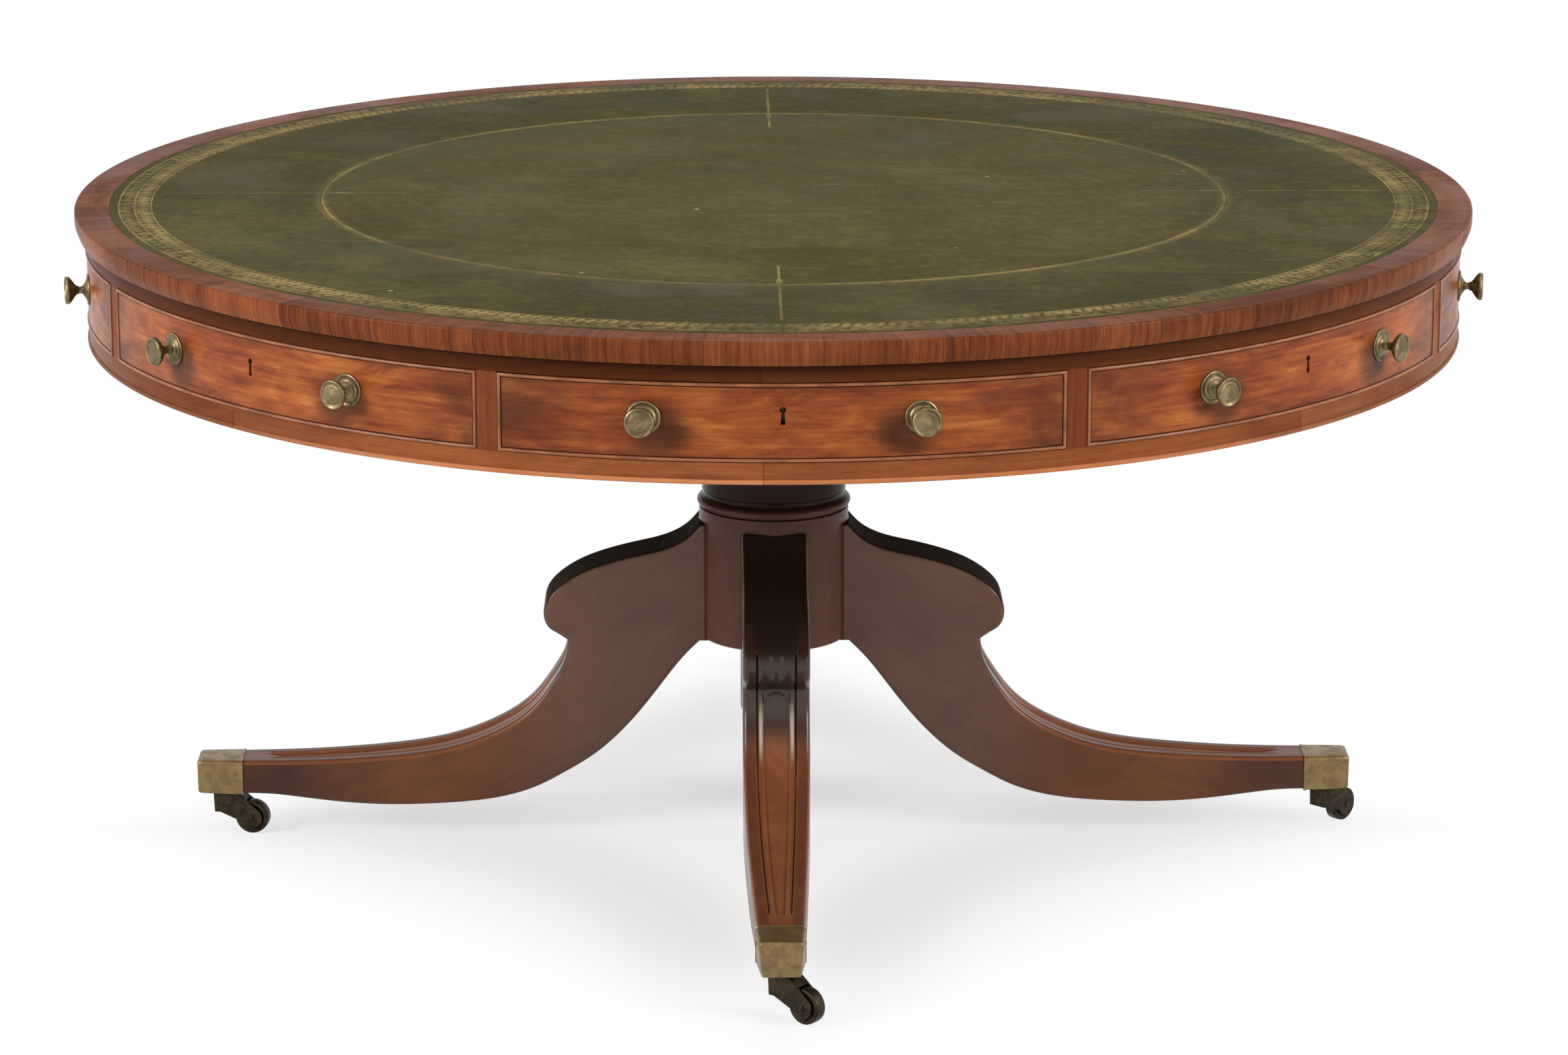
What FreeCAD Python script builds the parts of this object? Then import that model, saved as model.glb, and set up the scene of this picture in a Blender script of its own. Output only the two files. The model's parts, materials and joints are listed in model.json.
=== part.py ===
"""Drum table: a revolving round top with four drawers and four sham drawers in its frieze, on a turned
pedestal with four sabre legs and brass castors.

Lengths are millimetres. +Z is up, the floor is z = 0 and the origin is the pedestal's axis on the floor.
The front of the table faces -Y.
"""

import FreeCAD, Part
import Sketcher

import math
import os

# Driving sizes

SIZES = [
    # top
    ("top_height", 740.0, "floor to the writing surface"),
    ("drum_radius", 757.0, "outer face of the frieze"),
    ("top_overhang", 12.0, "edge of the top beyond the frieze"),
    ("top_thickness", 25.0, "edge of the top"),
    ("rim_width", 38.0, "crossbanding around the leather"),
    ("rim_corner", 3.0, "rounded upper corner of the edge"),
    ("rim_face", 11.0, "upright part of the edge"),
    ("rim_undercut", 4.5, "how far the edge draws in below its upright part"),
    ("leather_thickness", 1.5, "leather skins"),
    ("leather_border_width", 231.0, "outer skins, from the tooled circle to the crossbanding"),
    ("leather_joint", 0.3, "joint between skins"),
    # frieze
    ("frieze_wall", 22.0, "thickness of rails, stiles and fronts"),
    ("top_rail_height", 18.0, "rail above the panels"),
    ("panel_height", 80.0, "clear height between the rails"),
    ("bottom_rail_height", 17.0, "rail below the panels"),
    ("base_bead_height", 5.0, "bead around the lower edge"),
    ("base_bead_proud", 2.0, "how far that bead stands out"),
    ("stile_width", 22.0, "upright between two panels"),
    ("bead_width", 3.2, "cock-bead seen from the front"),
    ("bead_proud", 1.5, "how far the cock-bead stands out"),
    ("bead_depth", 9.0, "rebate that holds the cock-bead"),
    # inside the drum
    ("floor_thickness", 12.0, "bottom board"),
    ("floor_recess", 2.0, "bottom board above the lower edge"),
    ("guide_thickness", 14.0, "upright boards between the drawers"),
    ("runner_width", 12.0, "strips under and over the drawer sides"),
    ("hub_width", 140.0, "square block that turns on the spindle"),
    # drawers
    ("drawer_gap", 0.5, "clearance around a drawer front"),
    ("guide_gap", 0.5, "clearance beside a drawer"),
    ("runner_gap", 0.3, "clearance under a drawer side"),
    ("kicker_gap", 1.5, "clearance over a drawer side"),
    ("drawer_back_gap", 3.0, "clearance behind a drawer"),
    ("side_inset", 8.0, "drawer side in from the end of the front"),
    ("side_thickness", 11.0, "drawer sides and back"),
    ("side_height", 70.0, "drawer sides"),
    ("bottom_thickness", 7.0, "drawer bottom"),
    ("bottom_lift", 3.0, "drawer bottom above the lower edge of the sides"),
    ("back_drop", 6.0, "drawer back below the upper edge of the sides"),
    # brassware
    ("knob_height", 43.0, "knob centre above the bottom of the panel"),
    ("knob_shank_radius", 2.5, "screw of the knob"),
    ("knob_shank_length", 17.0, "screw of the knob"),
    ("knob_shank_gap", 0.2, "screw in its hole"),
    ("knob_plate_radius", 17.0, "round back plate"),
    ("knob_plate_thickness", 1.6, "round back plate"),
    ("knob_boss_radius", 8.5, "swelling on the back plate"),
    ("knob_boss_depth", 5.0, "swelling, out from the frieze"),
    ("knob_neck_radius", 3.6, "thinnest part"),
    ("knob_neck_depth", 8.5, "start of the thinnest part, out from the frieze"),
    ("knob_neck_length", 3.5, "thinnest part"),
    ("knob_head_radius", 15.0, "round head"),
    ("knob_head_depth", 21.5, "edge of the head, out from the frieze"),
    ("knob_corner", 1.2, "corner of the head"),
    ("knob_projection", 26.0, "front of the head, out from the frieze"),
    ("lock_width", 56.0, "lock case"),
    ("lock_height", 38.0, "lock case"),
    ("lock_sunk", 9.0, "lock case let into the front"),
    ("lock_proud", 4.0, "lock case standing out inside"),
    ("keyhole_radius", 2.9, "round part of the keyhole"),
    ("keyhole_slot", 3.0, "width of the keyhole's slot"),
    ("keyhole_height", 53.0, "round part above the bottom of the panel"),
    ("keyhole_drop", 15.0, "length of the slot below the round part"),
    # pedestal
    ("block_radius", 84.0, "block that takes the legs"),
    ("block_bottom", 232.0, "underside of the block"),
    ("block_height", 152.0, "block that takes the legs"),
    ("block_corner", 6.0, "rounded lower edge of the block"),
    ("collar_radius", 86.5, "ring above the block"),
    ("collar_height", 11.0, "ring above the block"),
    ("hollow_radius", 79.0, "neck of the hollow above the ring"),
    ("hollow_height", 8.0, "hollow above the ring"),
    ("shaft_radius", 81.0, "lower end of the shaft"),
    ("shaft_top_radius", 73.0, "upper end of the shaft"),
    ("astragal_radius", 77.0, "small ring at the head of the shaft"),
    ("astragal_height", 10.0, "small ring at the head of the shaft"),
    ("capital_radius", 104.0, "flare under the platform"),
    ("capital_height", 28.0, "flare under the platform"),
    ("capital_curve", 32.0, "hollow of the flare"),
    ("platform_radius", 150.0, "disc that the drum turns on"),
    ("platform_thickness", 24.0, "disc that the drum turns on"),
    ("bearing_gap", 0.3, "platform to the underside of the drum"),
    ("spindle_radius", 16.0, "iron spindle"),
    ("spindle_gap", 0.5, "spindle in the drum"),
    ("spindle_sunk", 60.0, "spindle let into the shaft"),
    ("spindle_top_gap", 8.0, "end of the spindle below the top board"),
    ("brace_radius", 78.0, "arms of the iron strap"),
    ("brace_hub_radius", 30.0, "middle of the iron strap"),
    ("brace_arm_width", 24.0, "arms of the iron strap"),
    ("brace_thickness", 3.0, "iron strap"),
    ("brace_hole_radius", 2.8, "screw holes of the iron strap"),
    ("brace_hole_margin", 12.0, "screw hole in from the end of an arm"),
    # legs
    ("leg_reach", 655.0, "axis to the end of the toe"),
    ("knee_reach", 259.5, "axis to the nose of the knee"),
    ("root_height", 368.0, "floor to the upper end of the joint with the block"),
    ("notch_reach", 233.0, "axis to the notch under the knee"),
    ("notch_height", 233.5, "floor to the notch under the knee"),
    ("leg_root_width", 74.0, "leg at the block"),
    ("leg_toe_width", 51.0, "leg at the cap"),
    ("tongue_height", 345.0, "floor to the upper end of the dovetail"),
    ("tongue_length", 24.0, "dovetail let into the block"),
    ("tongue_neck", 26.0, "narrow side of the dovetail"),
    ("tongue_back", 36.0, "wide side of the dovetail"),
    ("moulding_depth", 1.8, "reeds, grooves and sunk field on top of the leg"),
    ("groove_width", 2.6, "grooves on top of the leg"),
    ("groove_margin", 10.0, "edge of the leg to the outer groove"),
    ("field_margin", 19.5, "edge of the leg to the sunk field"),
    ("reed_spacing", 14.0, "over the two inner grooves of the reeds"),
    ("reed_length", 50.0, "how far the reeds run from the notch round the nose of the knee"),
    ("field_start_margin", 4.0, "notch to the arched head of the sunk field"),
    ("field_end_margin", 42.0, "sunk field to the cap"),
    ("groove_end_margin", 28.0, "outer grooves to the cap"),
    # caps and castors
    ("cap_length", 52.0, "brass cap on the toe"),
    ("cap_height", 40.0, "brass cap on the toe"),
    ("cap_wall", 2.0, "brass cap"),
    ("cap_proud", 0.8, "brass cap proud of the leg"),
    ("cap_end_width", 48.0, "upper edge of the cap's end"),
    ("cap_sole_width", 40.0, "lower edge of the cap's end"),
    ("stem_inset", 27.4, "castor pin in from the end of the cap"),
    ("wheel_radius", 19.5, "castor wheel"),
    ("wheel_width", 14.0, "castor wheel"),
    ("wheel_corner", 3.0, "rounded edge of the tread"),
    ("wheel_hub_radius", 7.0, "raised middle of the wheel"),
    ("wheel_rim_inner", 14.0, "raised rim of the wheel"),
    ("wheel_dish", 1.4, "hollow between hub and rim"),
    ("wheel_gap", 1.3, "horn over the wheel"),
    ("wheel_side_gap", 0.8, "cheek beside the wheel"),
    ("castor_trail", 34.0, "castor pin to axle"),
    ("cheek_thickness", 2.7, "sides of the horn"),
    ("cheek_radius", 15.0, "round end of the cheeks"),
    ("crown_thickness", 9.4, "horn over the wheel"),
    ("boss_radius", 9.5, "front of the horn"),
    ("boss_drop", 25.0, "front of the horn below its top"),
    ("swivel_gap", 0.3, "horn under the cap"),
    ("pin_radius", 4.0, "castor pin"),
    ("pin_gap", 0.4, "castor pin in the cap"),
    ("pin_head_radius", 6.5, "riveted head of the castor pin"),
    ("pin_head_thickness", 2.0, "riveted head of the castor pin"),
    ("pin_head_room", 1.0, "space around the riveted head"),
    ("axle_radius", 3.0, "castor axle"),
    ("axle_gap", 0.3, "wheel on its axle"),
    ("axle_head", 1.2, "axle beyond the cheeks"),
    # cutting
    ("overrun", 5.0, "how far cutting solids run past a face"),
]

# Levels and radii that follow from the driving sizes

LEVELS = [
    ("top_radius", "drum_radius + top_overhang"),
    ("leather_radius", "top_radius - rim_width"),
    ("leather_centre_radius", "leather_radius - leather_border_width"),
    ("board_top", "top_height - leather_thickness"),
    ("rim_bottom", "top_height - top_thickness"),
    ("frieze_inner", "drum_radius - frieze_wall"),
    ("panel_top", "rim_bottom - top_rail_height"),
    ("panel_bottom", "panel_top - panel_height"),
    ("rail_bottom", "panel_bottom - bottom_rail_height"),
    ("drum_bottom", "rail_bottom - base_bead_height"),
    ("floor_bottom", "drum_bottom + floor_recess"),
    ("floor_top", "floor_bottom + floor_thickness"),
    ("radian", "180 / pi"),
    ("panel_angle", "45 - stile_width / drum_radius * radian"),
    ("drawer_angle", "panel_angle - 2 * drawer_gap / drum_radius * radian"),
    ("box_half", "frieze_inner * sin( drawer_angle / 2 * 1 deg ) - side_inset"),
    ("guide_inner", "box_half + guide_gap"),
    ("guide_outer", "guide_inner + guide_thickness"),
    ("drawer_back", "guide_outer + drawer_back_gap"),
    ("side_bottom", "panel_bottom + runner_gap"),
    ("side_top", "side_bottom + side_height"),
    ("drawer_floor", "side_bottom + bottom_lift"),
    ("drawer_floor_top", "drawer_floor + bottom_thickness"),
    ("knob_level", "panel_bottom + knob_height"),
    ("keyhole_level", "panel_bottom + keyhole_height"),
    ("block_top", "block_bottom + block_height"),
    ("collar_top", "block_top + collar_height"),
    ("hollow_top", "collar_top + hollow_height"),
    ("platform_top", "floor_bottom - bearing_gap"),
    ("platform_bottom", "platform_top - platform_thickness"),
    ("capital_bottom", "platform_bottom - capital_height"),
    ("astragal_bottom", "capital_bottom - astragal_height"),
    ("spindle_bottom", "platform_bottom - spindle_sunk"),
    ("spindle_top", "rim_bottom - spindle_top_gap"),
    ("horn_top", "2 * wheel_radius + wheel_gap + crown_thickness"),
    ("cap_bottom", "horn_top + swivel_gap"),
    ("cap_top", "cap_bottom + cap_height"),
    ("shoulder", "leg_reach - cap_length"),
    ("toe_bottom", "cap_bottom + cap_proud"),
    ("toe_top", "cap_top - cap_proud"),
    ("stem_reach", "leg_reach - stem_inset"),
    ("pin_end", "cap_bottom + cap_wall + swivel_gap"),
    ("pin_top", "pin_end + pin_head_thickness"),
    ("horn_width", "wheel_width + 2 * wheel_side_gap + 2 * cheek_thickness"),
]

# Outlines of the leg's side, as shares of the spans that they follow

# Knee, from the block to the notch: reach over root to nose, height over notch to root top.
KNEE_SHARES = [
    (0.0, 1.0), (0.074, 0.896), (0.199, 0.803), (0.416, 0.729), (0.604, 0.664), (0.746, 0.595),
    (0.877, 0.494), (0.957, 0.394), (1.0, 0.26), (0.996, 0.178), (0.969, 0.108), (0.912, 0.056),
]
# Instep, from the notch to the cap: reach over notch to shoulder, height over toe top to notch.
INSTEP_SHARES = [
    (0.0, 1.0), (0.008, 0.854), (0.046, 0.667), (0.116, 0.437), (0.224, 0.253), (0.365, 0.121),
    (0.559, 0.046), (0.8, 0.008), (1.0, 0.0),
]
# Sole, from the cap to the block: reach over root to shoulder, height over toe bottom to root bottom.
SOLE_SHARES = [
    (1.0, 0.0), (0.946, -0.003), (0.879, -0.023), (0.796, -0.051), (0.678, -0.069), (0.58, -0.061),
    (0.503, -0.044), (0.424, -0.007), (0.358, 0.055), (0.291, 0.156), (0.233, 0.26), (0.183, 0.382),
    (0.139, 0.517), (0.074, 0.757), (0.029, 0.917), (0.0, 1.0),
]

# Counts and directions

SIDES = [("front", 0), ("right", 90), ("back", 180), ("left", 270)]
FALSE_TURNS = [45, 135, 225, 315]
STILE_TURNS = [22.5 + 45 * place for place in range(8)]
# Where each castor trails, in degrees about +Z from the direction of its own leg.
CASTOR_TURNS = {"front": 50, "right": 45, "back": -90, "left": 168}
# Where the cheeks of a castor horn leave their round end, in degrees from the level.
CHEEK_LOWER_TURN = 242
CHEEK_UPPER_TURN = 62
# Degrees between the two knobs of a panel.
KNOB_SPREAD = 20.6
# Steps along a curve that is copied at a distance.
CURVE_STEPS = 12

X_AXIS = FreeCAD.Vector(1, 0, 0)
Y_AXIS = FreeCAD.Vector(0, 1, 0)
Z_AXIS = FreeCAD.Vector(0, 0, 1)
NO_MOVE = FreeCAD.Vector(0, 0, 0)

doc = FreeCAD.newDocument("drum_table")
nodes = []


# Sheets


def fill_sheet(name, rows):
    """Spreadsheet with one named value a row: name, value or formula, note."""
    sheet = doc.addObject("Spreadsheet::Sheet", name)
    for row, (alias, content, note) in enumerate(rows, start=1):
        sheet.set(f"A{row}", alias)
        sheet.set(f"B{row}", content)
        sheet.setAlias(f"B{row}", alias)
        sheet.set(f"C{row}", note)
    doc.recompute()
    return sheet


SIZE_NAMES = {alias for alias, _, _ in SIZES}
LEVEL_NAMES = {alias for alias, _ in LEVELS}


def linked(text, own=False):
    """The formula with each size name pointing at its cell. Words stand apart, with spaces."""
    words = []
    for word in text.split():
        if word in SIZE_NAMES:
            word = f"Sizes.{word}"
        elif word in LEVEL_NAMES and not own:
            word = f"Levels.{word}"
        words.append(word)
    return " ".join(words)


sizes = fill_sheet("Sizes", [(alias, str(number), note) for alias, number, note in SIZES])
levels = fill_sheet("Levels", [(alias, "=" + linked(text, own=True), text) for alias, text in LEVELS])


def amount(text):
    """Present value of a formula."""
    return float(levels.evalExpression(linked(text)))


def bind(item, place, text):
    item.setExpression(place, linked(text))


def turned_by(degrees, axis=Z_AXIS, move=NO_MOVE):
    return FreeCAD.Placement(move, FreeCAD.Rotation(axis, degrees))


def facing(turn):
    """From +X, where legs, caps and castors are drawn, to a side given by its turn from the front."""
    return turned_by(turn - 90)


def arc_radius(chord, rise):
    """Formula for the radius of an arc from its chord and how far it stands off the chord."""
    return f"( ( {chord} ) ^ 2 / ( 8 * ( {rise} ) ) + ( {rise} ) / 2 )"


# Sketches and bodies


def sketch_on(body, role, name, lift="0"):
    """Sketch on one of the body's own origin planes, raised along the plane's normal."""
    sketch = body.newObject("Sketcher::SketchObject", name)
    plane = next(item for item in body.Origin.OriginFeatures if item.Role == role)
    sketch.AttachmentSupport = [(plane, "")]
    sketch.MapMode = "FlatFace"
    bind(sketch, "AttachmentOffset.Base.z", lift)
    return sketch


def pin_point(sketch, side, end, corner):
    """Fix one end of a side at the corner's two formulas."""
    for kind, axis, text in (("DistanceX", -2, corner[0]), ("DistanceY", -1, corner[1])):
        if text == "0":
            sketch.addConstraint(Sketcher.Constraint("PointOnObject", side, end, axis))
            continue
        index = sketch.addConstraint(Sketcher.Constraint(kind, side, end, amount(text)))
        name = f"{kind}_{side}"
        sketch.renameConstraint(index, name)
        bind(sketch, f"Constraints.{name}", text)


def add_arc(sketch, start, end, text):
    """Arc with the radius that the formula gives, standing out to the right of the way from start to end,
    or to the left where the formula starts with a minus. Returns which end of the arc is the last point."""
    hollow = text.startswith("-")
    radius = abs(amount(text))
    chord = end - start
    middle = (start + end) * 0.5
    outward = FreeCAD.Vector(chord.y, -chord.x, 0).normalize()
    if hollow:
        outward = -outward
    centre = middle - outward * math.sqrt(radius**2 - (chord.Length / 2) ** 2)
    first, last = (end, start) if hollow else (start, end)
    angles = [math.atan2(point.y - centre.y, point.x - centre.x) for point in (first, last)]
    side = sketch.addGeometry(Part.ArcOfCircle(Part.Circle(centre, Z_AXIS, radius), *angles), False)
    index = sketch.addConstraint(Sketcher.Constraint("Radius", side, radius))
    sketch.renameConstraint(index, f"Radius_{side}")
    bind(sketch, f"Constraints.Radius_{side}", text.lstrip("- "))
    return side, 1 if hollow else 2


def outline(sketch, corners):
    """Closed outline, anticlockwise. A corner is (x, y), or (x, y, radius) where the side before it is an
    arc that stands out of the outline, or is hollow where the radius starts with a minus."""
    points = [FreeCAD.Vector(amount(corner[0]), amount(corner[1]), 0) for corner in corners]
    ends = []
    for place, corner in enumerate(corners):
        start, end = points[place - 1], points[place]
        if len(corner) > 2:
            ends.append(add_arc(sketch, start, end, corner[2]))
        else:
            ends.append((sketch.addGeometry(Part.LineSegment(start, end), False), 2))
    for place, (side, last) in enumerate(ends):
        following, following_last = ends[(place + 1) % len(ends)]
        sketch.addConstraint(Sketcher.Constraint("Coincident", side, last, following, 3 - following_last))
        pin_point(sketch, side, last, corners[place])


def circle(sketch, centre_x, centre_y, radius):
    centre = FreeCAD.Vector(amount(centre_x), amount(centre_y), 0)
    ring = sketch.addGeometry(Part.Circle(centre, Z_AXIS, amount(radius)), False)
    index = sketch.addConstraint(Sketcher.Constraint("Radius", ring, amount(radius)))
    sketch.renameConstraint(index, "Radius_0")
    bind(sketch, "Constraints.Radius_0", radius)
    pin_point(sketch, ring, 3, (centre_x, centre_y))


def feature(body, kind, name, sketch, **settings):
    """PartDesign feature made from the sketch."""
    item = body.newObject(f"PartDesign::{kind}", name)
    item.Profile = sketch
    for place, setting in settings.items():
        setattr(item, place, setting)
    return item


def turned(name, corners):
    """Body turned about Z from a closed outline of radius and height."""
    body = doc.addObject("PartDesign::Body", name)
    sketch = sketch_on(body, "XZ_Plane", f"{name}_profile")
    outline(sketch, corners)
    feature(body, "Revolution", f"{name}_turning", sketch, ReferenceAxis=(sketch, ["V_Axis"]), Angle=360)
    return body


def four_times(body, item, name):
    """Repeat a feature four times about Z."""
    pattern = body.newObject("PartDesign::PolarPattern", name)
    pattern.Originals = [item]
    axis = next(entry for entry in body.Origin.OriginFeatures if entry.Role == "Z_Axis")
    pattern.Axis = (axis, [""])
    pattern.Angle = 360
    pattern.Occurrences = 4
    body.Tip = pattern
    return pattern


# Primitives


def cylinder(name, radius, bottom, top, angle=None):
    """Upright cylinder, or a sector of it centred on -Y where an angle is given."""
    item = doc.addObject("Part::Cylinder", name)
    bind(item, "Radius", radius)
    bind(item, "Height", f"( {top} ) - ( {bottom} )")
    bind(item, "Placement.Base.z", bottom)
    if angle:
        bind(item, "Angle", angle)
        bind(item, "Placement.Rotation.Angle", f"-90 - ( {angle} ) / 2")
    return item


def board(name, x, y, z):
    """Rectangular board between pairs of limits."""
    item = doc.addObject("Part::Box", name)
    for side, axis, (low, high) in (("Length", "x", x), ("Width", "y", y), ("Height", "z", z)):
        bind(item, side, f"( {high} ) - ( {low} )")
        bind(item, f"Placement.Base.{axis}", low)
    return item


def combined(kind, name, base, tool):
    """Part::Cut, Part::Common or Part::Fuse of two objects."""
    item = doc.addObject(f"Part::{kind}", name)
    item.Base = base
    item.Tool = tool
    return item


def fused(name, members):
    item = doc.addObject("Part::MultiFuse", name)
    item.Shapes = members
    return item


def sector(name, outer, inner, bottom, top, angle=None):
    """Ring, or a sector of one centred on -Y."""
    whole = cylinder(f"{name}_outer", outer, bottom, top, angle)
    hole = cylinder(f"{name}_inner", inner, f"( {bottom} ) - overrun", f"( {top} ) + overrun")
    return combined("Cut", name, whole, hole)


# Placed copies and sub-parts


def copy_of(source, name, placement):
    """Placed copy that follows its source."""
    item = doc.addObject("Part::Compound", name)
    item.Links = [source]
    item.Placement = placement
    return item


def group_of(name, members):
    """One sub-part of several separate solids."""
    item = doc.addObject("Part::Compound", name)
    item.Links = members
    return item


def sub_part(item):
    """Keep the object as a sub-part that is written out under its label."""
    nodes.append(item)
    return item


# Top


def make_top():
    centre_edge = "leather_centre_radius - leather_joint / 2"
    sub_part(cylinder("leather_centre", centre_edge, "board_top", "top_height"))
    section = sector(
        "leather_section",
        "leather_radius - leather_joint",
        "leather_centre_radius + leather_joint / 2",
        "board_top",
        "top_height",
        "90 - leather_joint / leather_centre_radius * radian",
    )
    quarters = [
        copy_of(section, f"leather_section_{turn + 45}", turned_by(turn + 45)) for _, turn in SIDES
    ]
    sub_part(group_of("leather_border", quarters))
    sub_part(cylinder("top_board", "leather_radius", "rim_bottom", "board_top"))
    sub_part(
        turned(
            "crossband_rim",
            [
                ("leather_radius", "rim_bottom"),
                ("top_radius - rim_undercut", "rim_bottom"),
                ("top_radius", "top_height - rim_corner - rim_face"),
                ("top_radius", "top_height - rim_corner"),
                ("top_radius - rim_corner", "top_height", "rim_corner"),
                ("leather_radius", "top_height"),
            ],
        )
    )


# Frieze and carcase


def make_frieze():
    sub_part(sector("frieze_top_rail", "drum_radius", "frieze_inner", "panel_top", "rim_bottom"))
    sub_part(sector("frieze_bottom_rail", "drum_radius", "frieze_inner", "rail_bottom", "panel_bottom"))
    sub_part(
        turned(
            "frieze_base_bead",
            [
                ("frieze_inner", "drum_bottom"),
                ("drum_radius", "drum_bottom"),
                ("drum_radius", "rail_bottom", arc_radius("base_bead_height", "base_bead_proud")),
                ("frieze_inner", "rail_bottom"),
            ],
        )
    )
    stile = sector(
        "stile", "drum_radius", "frieze_inner", "panel_bottom", "panel_top", "45 - panel_angle"
    )
    stiles = [copy_of(stile, f"stile_{place}", turned_by(turn)) for place, turn in enumerate(STILE_TURNS)]
    sub_part(group_of("frieze_stiles", stiles))


def make_carcase():
    """Bottom board, guide boards, runners, kickers and the block that turns on the spindle."""
    bore = "spindle_radius + spindle_gap"
    sub_part(sector("drum_floor", "frieze_inner", bore, "floor_bottom", "floor_top"))
    clear_disc = cylinder("carcase_disc", "frieze_inner", "drum_bottom", "top_height")

    def carried(name, x, y_inner, z):
        """Board along the drawer's travel, from the rails to its inner end."""
        blank = board(f"{name}_blank", x, ("- drum_radius", y_inner), z)
        return combined("Common", name, blank, clear_disc)

    right = ("guide_inner", "guide_outer")
    left = ("- guide_outer", "- guide_inner")
    full = ("floor_top", "rim_bottom")
    guides = [carried("guide_right", right, "- guide_outer", full)]
    guides.append(carried("guide_left", left, "- guide_inner", full))
    runners = []
    right = ("guide_inner - runner_width", "guide_inner")
    left = ("- guide_inner", "- guide_inner + runner_width")
    for hand, across in (("right", right), ("left", left)):
        low = ("floor_top", "panel_bottom")
        high = ("side_top + kicker_gap", "rim_bottom")
        runners.append(carried(f"runner_{hand}", across, "- guide_outer", low))
        runners.append(carried(f"kicker_{hand}", across, "- guide_outer", high))
    for name, members in (("drawer_partitions", guides), ("drawer_runners", runners)):
        placed = [
            copy_of(member, f"{member.Label}_{side}", turned_by(turn))
            for side, turn in SIDES
            for member in members
        ]
        sub_part(group_of(name, placed))

    hub = sub_part(doc.addObject("PartDesign::Body", "pivot_hub"))
    half = "hub_width / 2"
    square = sketch_on(hub, "XY_Plane", "pivot_hub_square", "floor_top")
    outline(square, [(f"- {half}", f"- {half}"), (half, f"- {half}"), (half, half), (f"- {half}", half)])
    block = feature(hub, "Pad", "pivot_hub_block", square)
    bind(block, "Length", "rim_bottom - floor_top")
    hole = sketch_on(hub, "XY_Plane", "pivot_hub_hole", "floor_top")
    circle(hole, "0", "0", bore)
    pocket = feature(hub, "Pocket", "pivot_hub_bore", hole, Reversed=True)
    bind(pocket, "Length", "spindle_top - floor_top + spindle_gap")


# Drawer fronts, true and sham


def make_front(name, gap, extra_tools):
    """Curved front facing -Y and the cock-bead in its rebate."""
    angle = f"panel_angle - 2 * {gap} / drum_radius * radian"
    low, high = f"panel_bottom + {gap}", f"panel_top - {gap}"
    blank = sector(f"{name}_blank", "drum_radius", "frieze_inner", low, high, angle)
    proud = "drum_radius + bead_proud"
    around = sector(f"{name}_bead_blank", proud, "drum_radius - bead_depth", low, high, angle)
    window = cylinder(
        f"{name}_bead_window",
        "drum_radius + bead_proud + overrun",
        f"{low} + bead_width",
        f"{high} - bead_width",
        f"{angle} - 2 * bead_width / drum_radius * radian",
    )
    bead = combined("Cut", f"{name}_bead", around, window)
    tools = fused(f"{name}_tools", [bead] + extra_tools)
    return combined("Cut", name, blank, tools), bead


def knob_placement(hand):
    """From the knob's own frame, where it stands out along +Z, to its place on the panel."""
    out = turned_by(90, X_AXIS, FreeCAD.Vector(0, -amount("drum_radius"), amount("knob_level")))
    return turned_by(hand * KNOB_SPREAD / 2) * out


def knob_holes(name):
    hole = doc.addObject("Part::Cylinder", f"{name}_knob_hole")
    bind(hole, "Radius", "knob_shank_radius + knob_shank_gap")
    bind(hole, "Height", "knob_shank_length + knob_shank_gap + overrun")
    bind(hole, "Placement.Base.z", "- knob_shank_length - knob_shank_gap")
    return [copy_of(hole, f"{name}_knob_hole_{hand}", knob_placement(hand)) for hand in (-1, 1)]


def keyhole(name):
    """Round hole with a slot below it, from the face of the front to the depth of the lock case."""
    depth = "( frieze_wall - lock_sunk )"
    back = f"- drum_radius + {depth}"
    bow = doc.addObject("Part::Cylinder", f"{name}_keyhole_bow")
    bow.Placement = turned_by(90, X_AXIS)
    bind(bow, "Radius", "keyhole_radius")
    bind(bow, "Height", f"{depth} + overrun")
    bind(bow, "Placement.Base.y", back)
    bind(bow, "Placement.Base.z", "keyhole_level")
    slot = board(
        f"{name}_keyhole_slot",
        ("- keyhole_slot / 2", "keyhole_slot / 2"),
        ("- drum_radius - overrun", back),
        ("keyhole_level - keyhole_drop", "keyhole_level"),
    )
    return [bow, slot]


def make_knob():
    """Turned brass knob with its back plate and screw, standing out along +Z from the frieze."""
    return turned(
        "knob",
        [
            ("0", "- knob_shank_length"),
            ("knob_shank_radius", "- knob_shank_length"),
            ("knob_shank_radius", "0"),
            ("knob_plate_radius", "0"),
            ("knob_plate_radius", "knob_plate_thickness"),
            ("knob_boss_radius", "knob_plate_thickness"),
            ("knob_boss_radius", "knob_boss_depth"),
            ("knob_neck_radius", "knob_neck_depth"),
            ("knob_neck_radius", "knob_neck_depth + knob_neck_length"),
            ("knob_head_radius", "knob_head_depth"),
            ("knob_head_radius", "knob_projection - knob_corner"),
            ("knob_head_radius - knob_corner", "knob_projection", "knob_corner"),
            ("0", "knob_projection"),
        ],
    )


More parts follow.
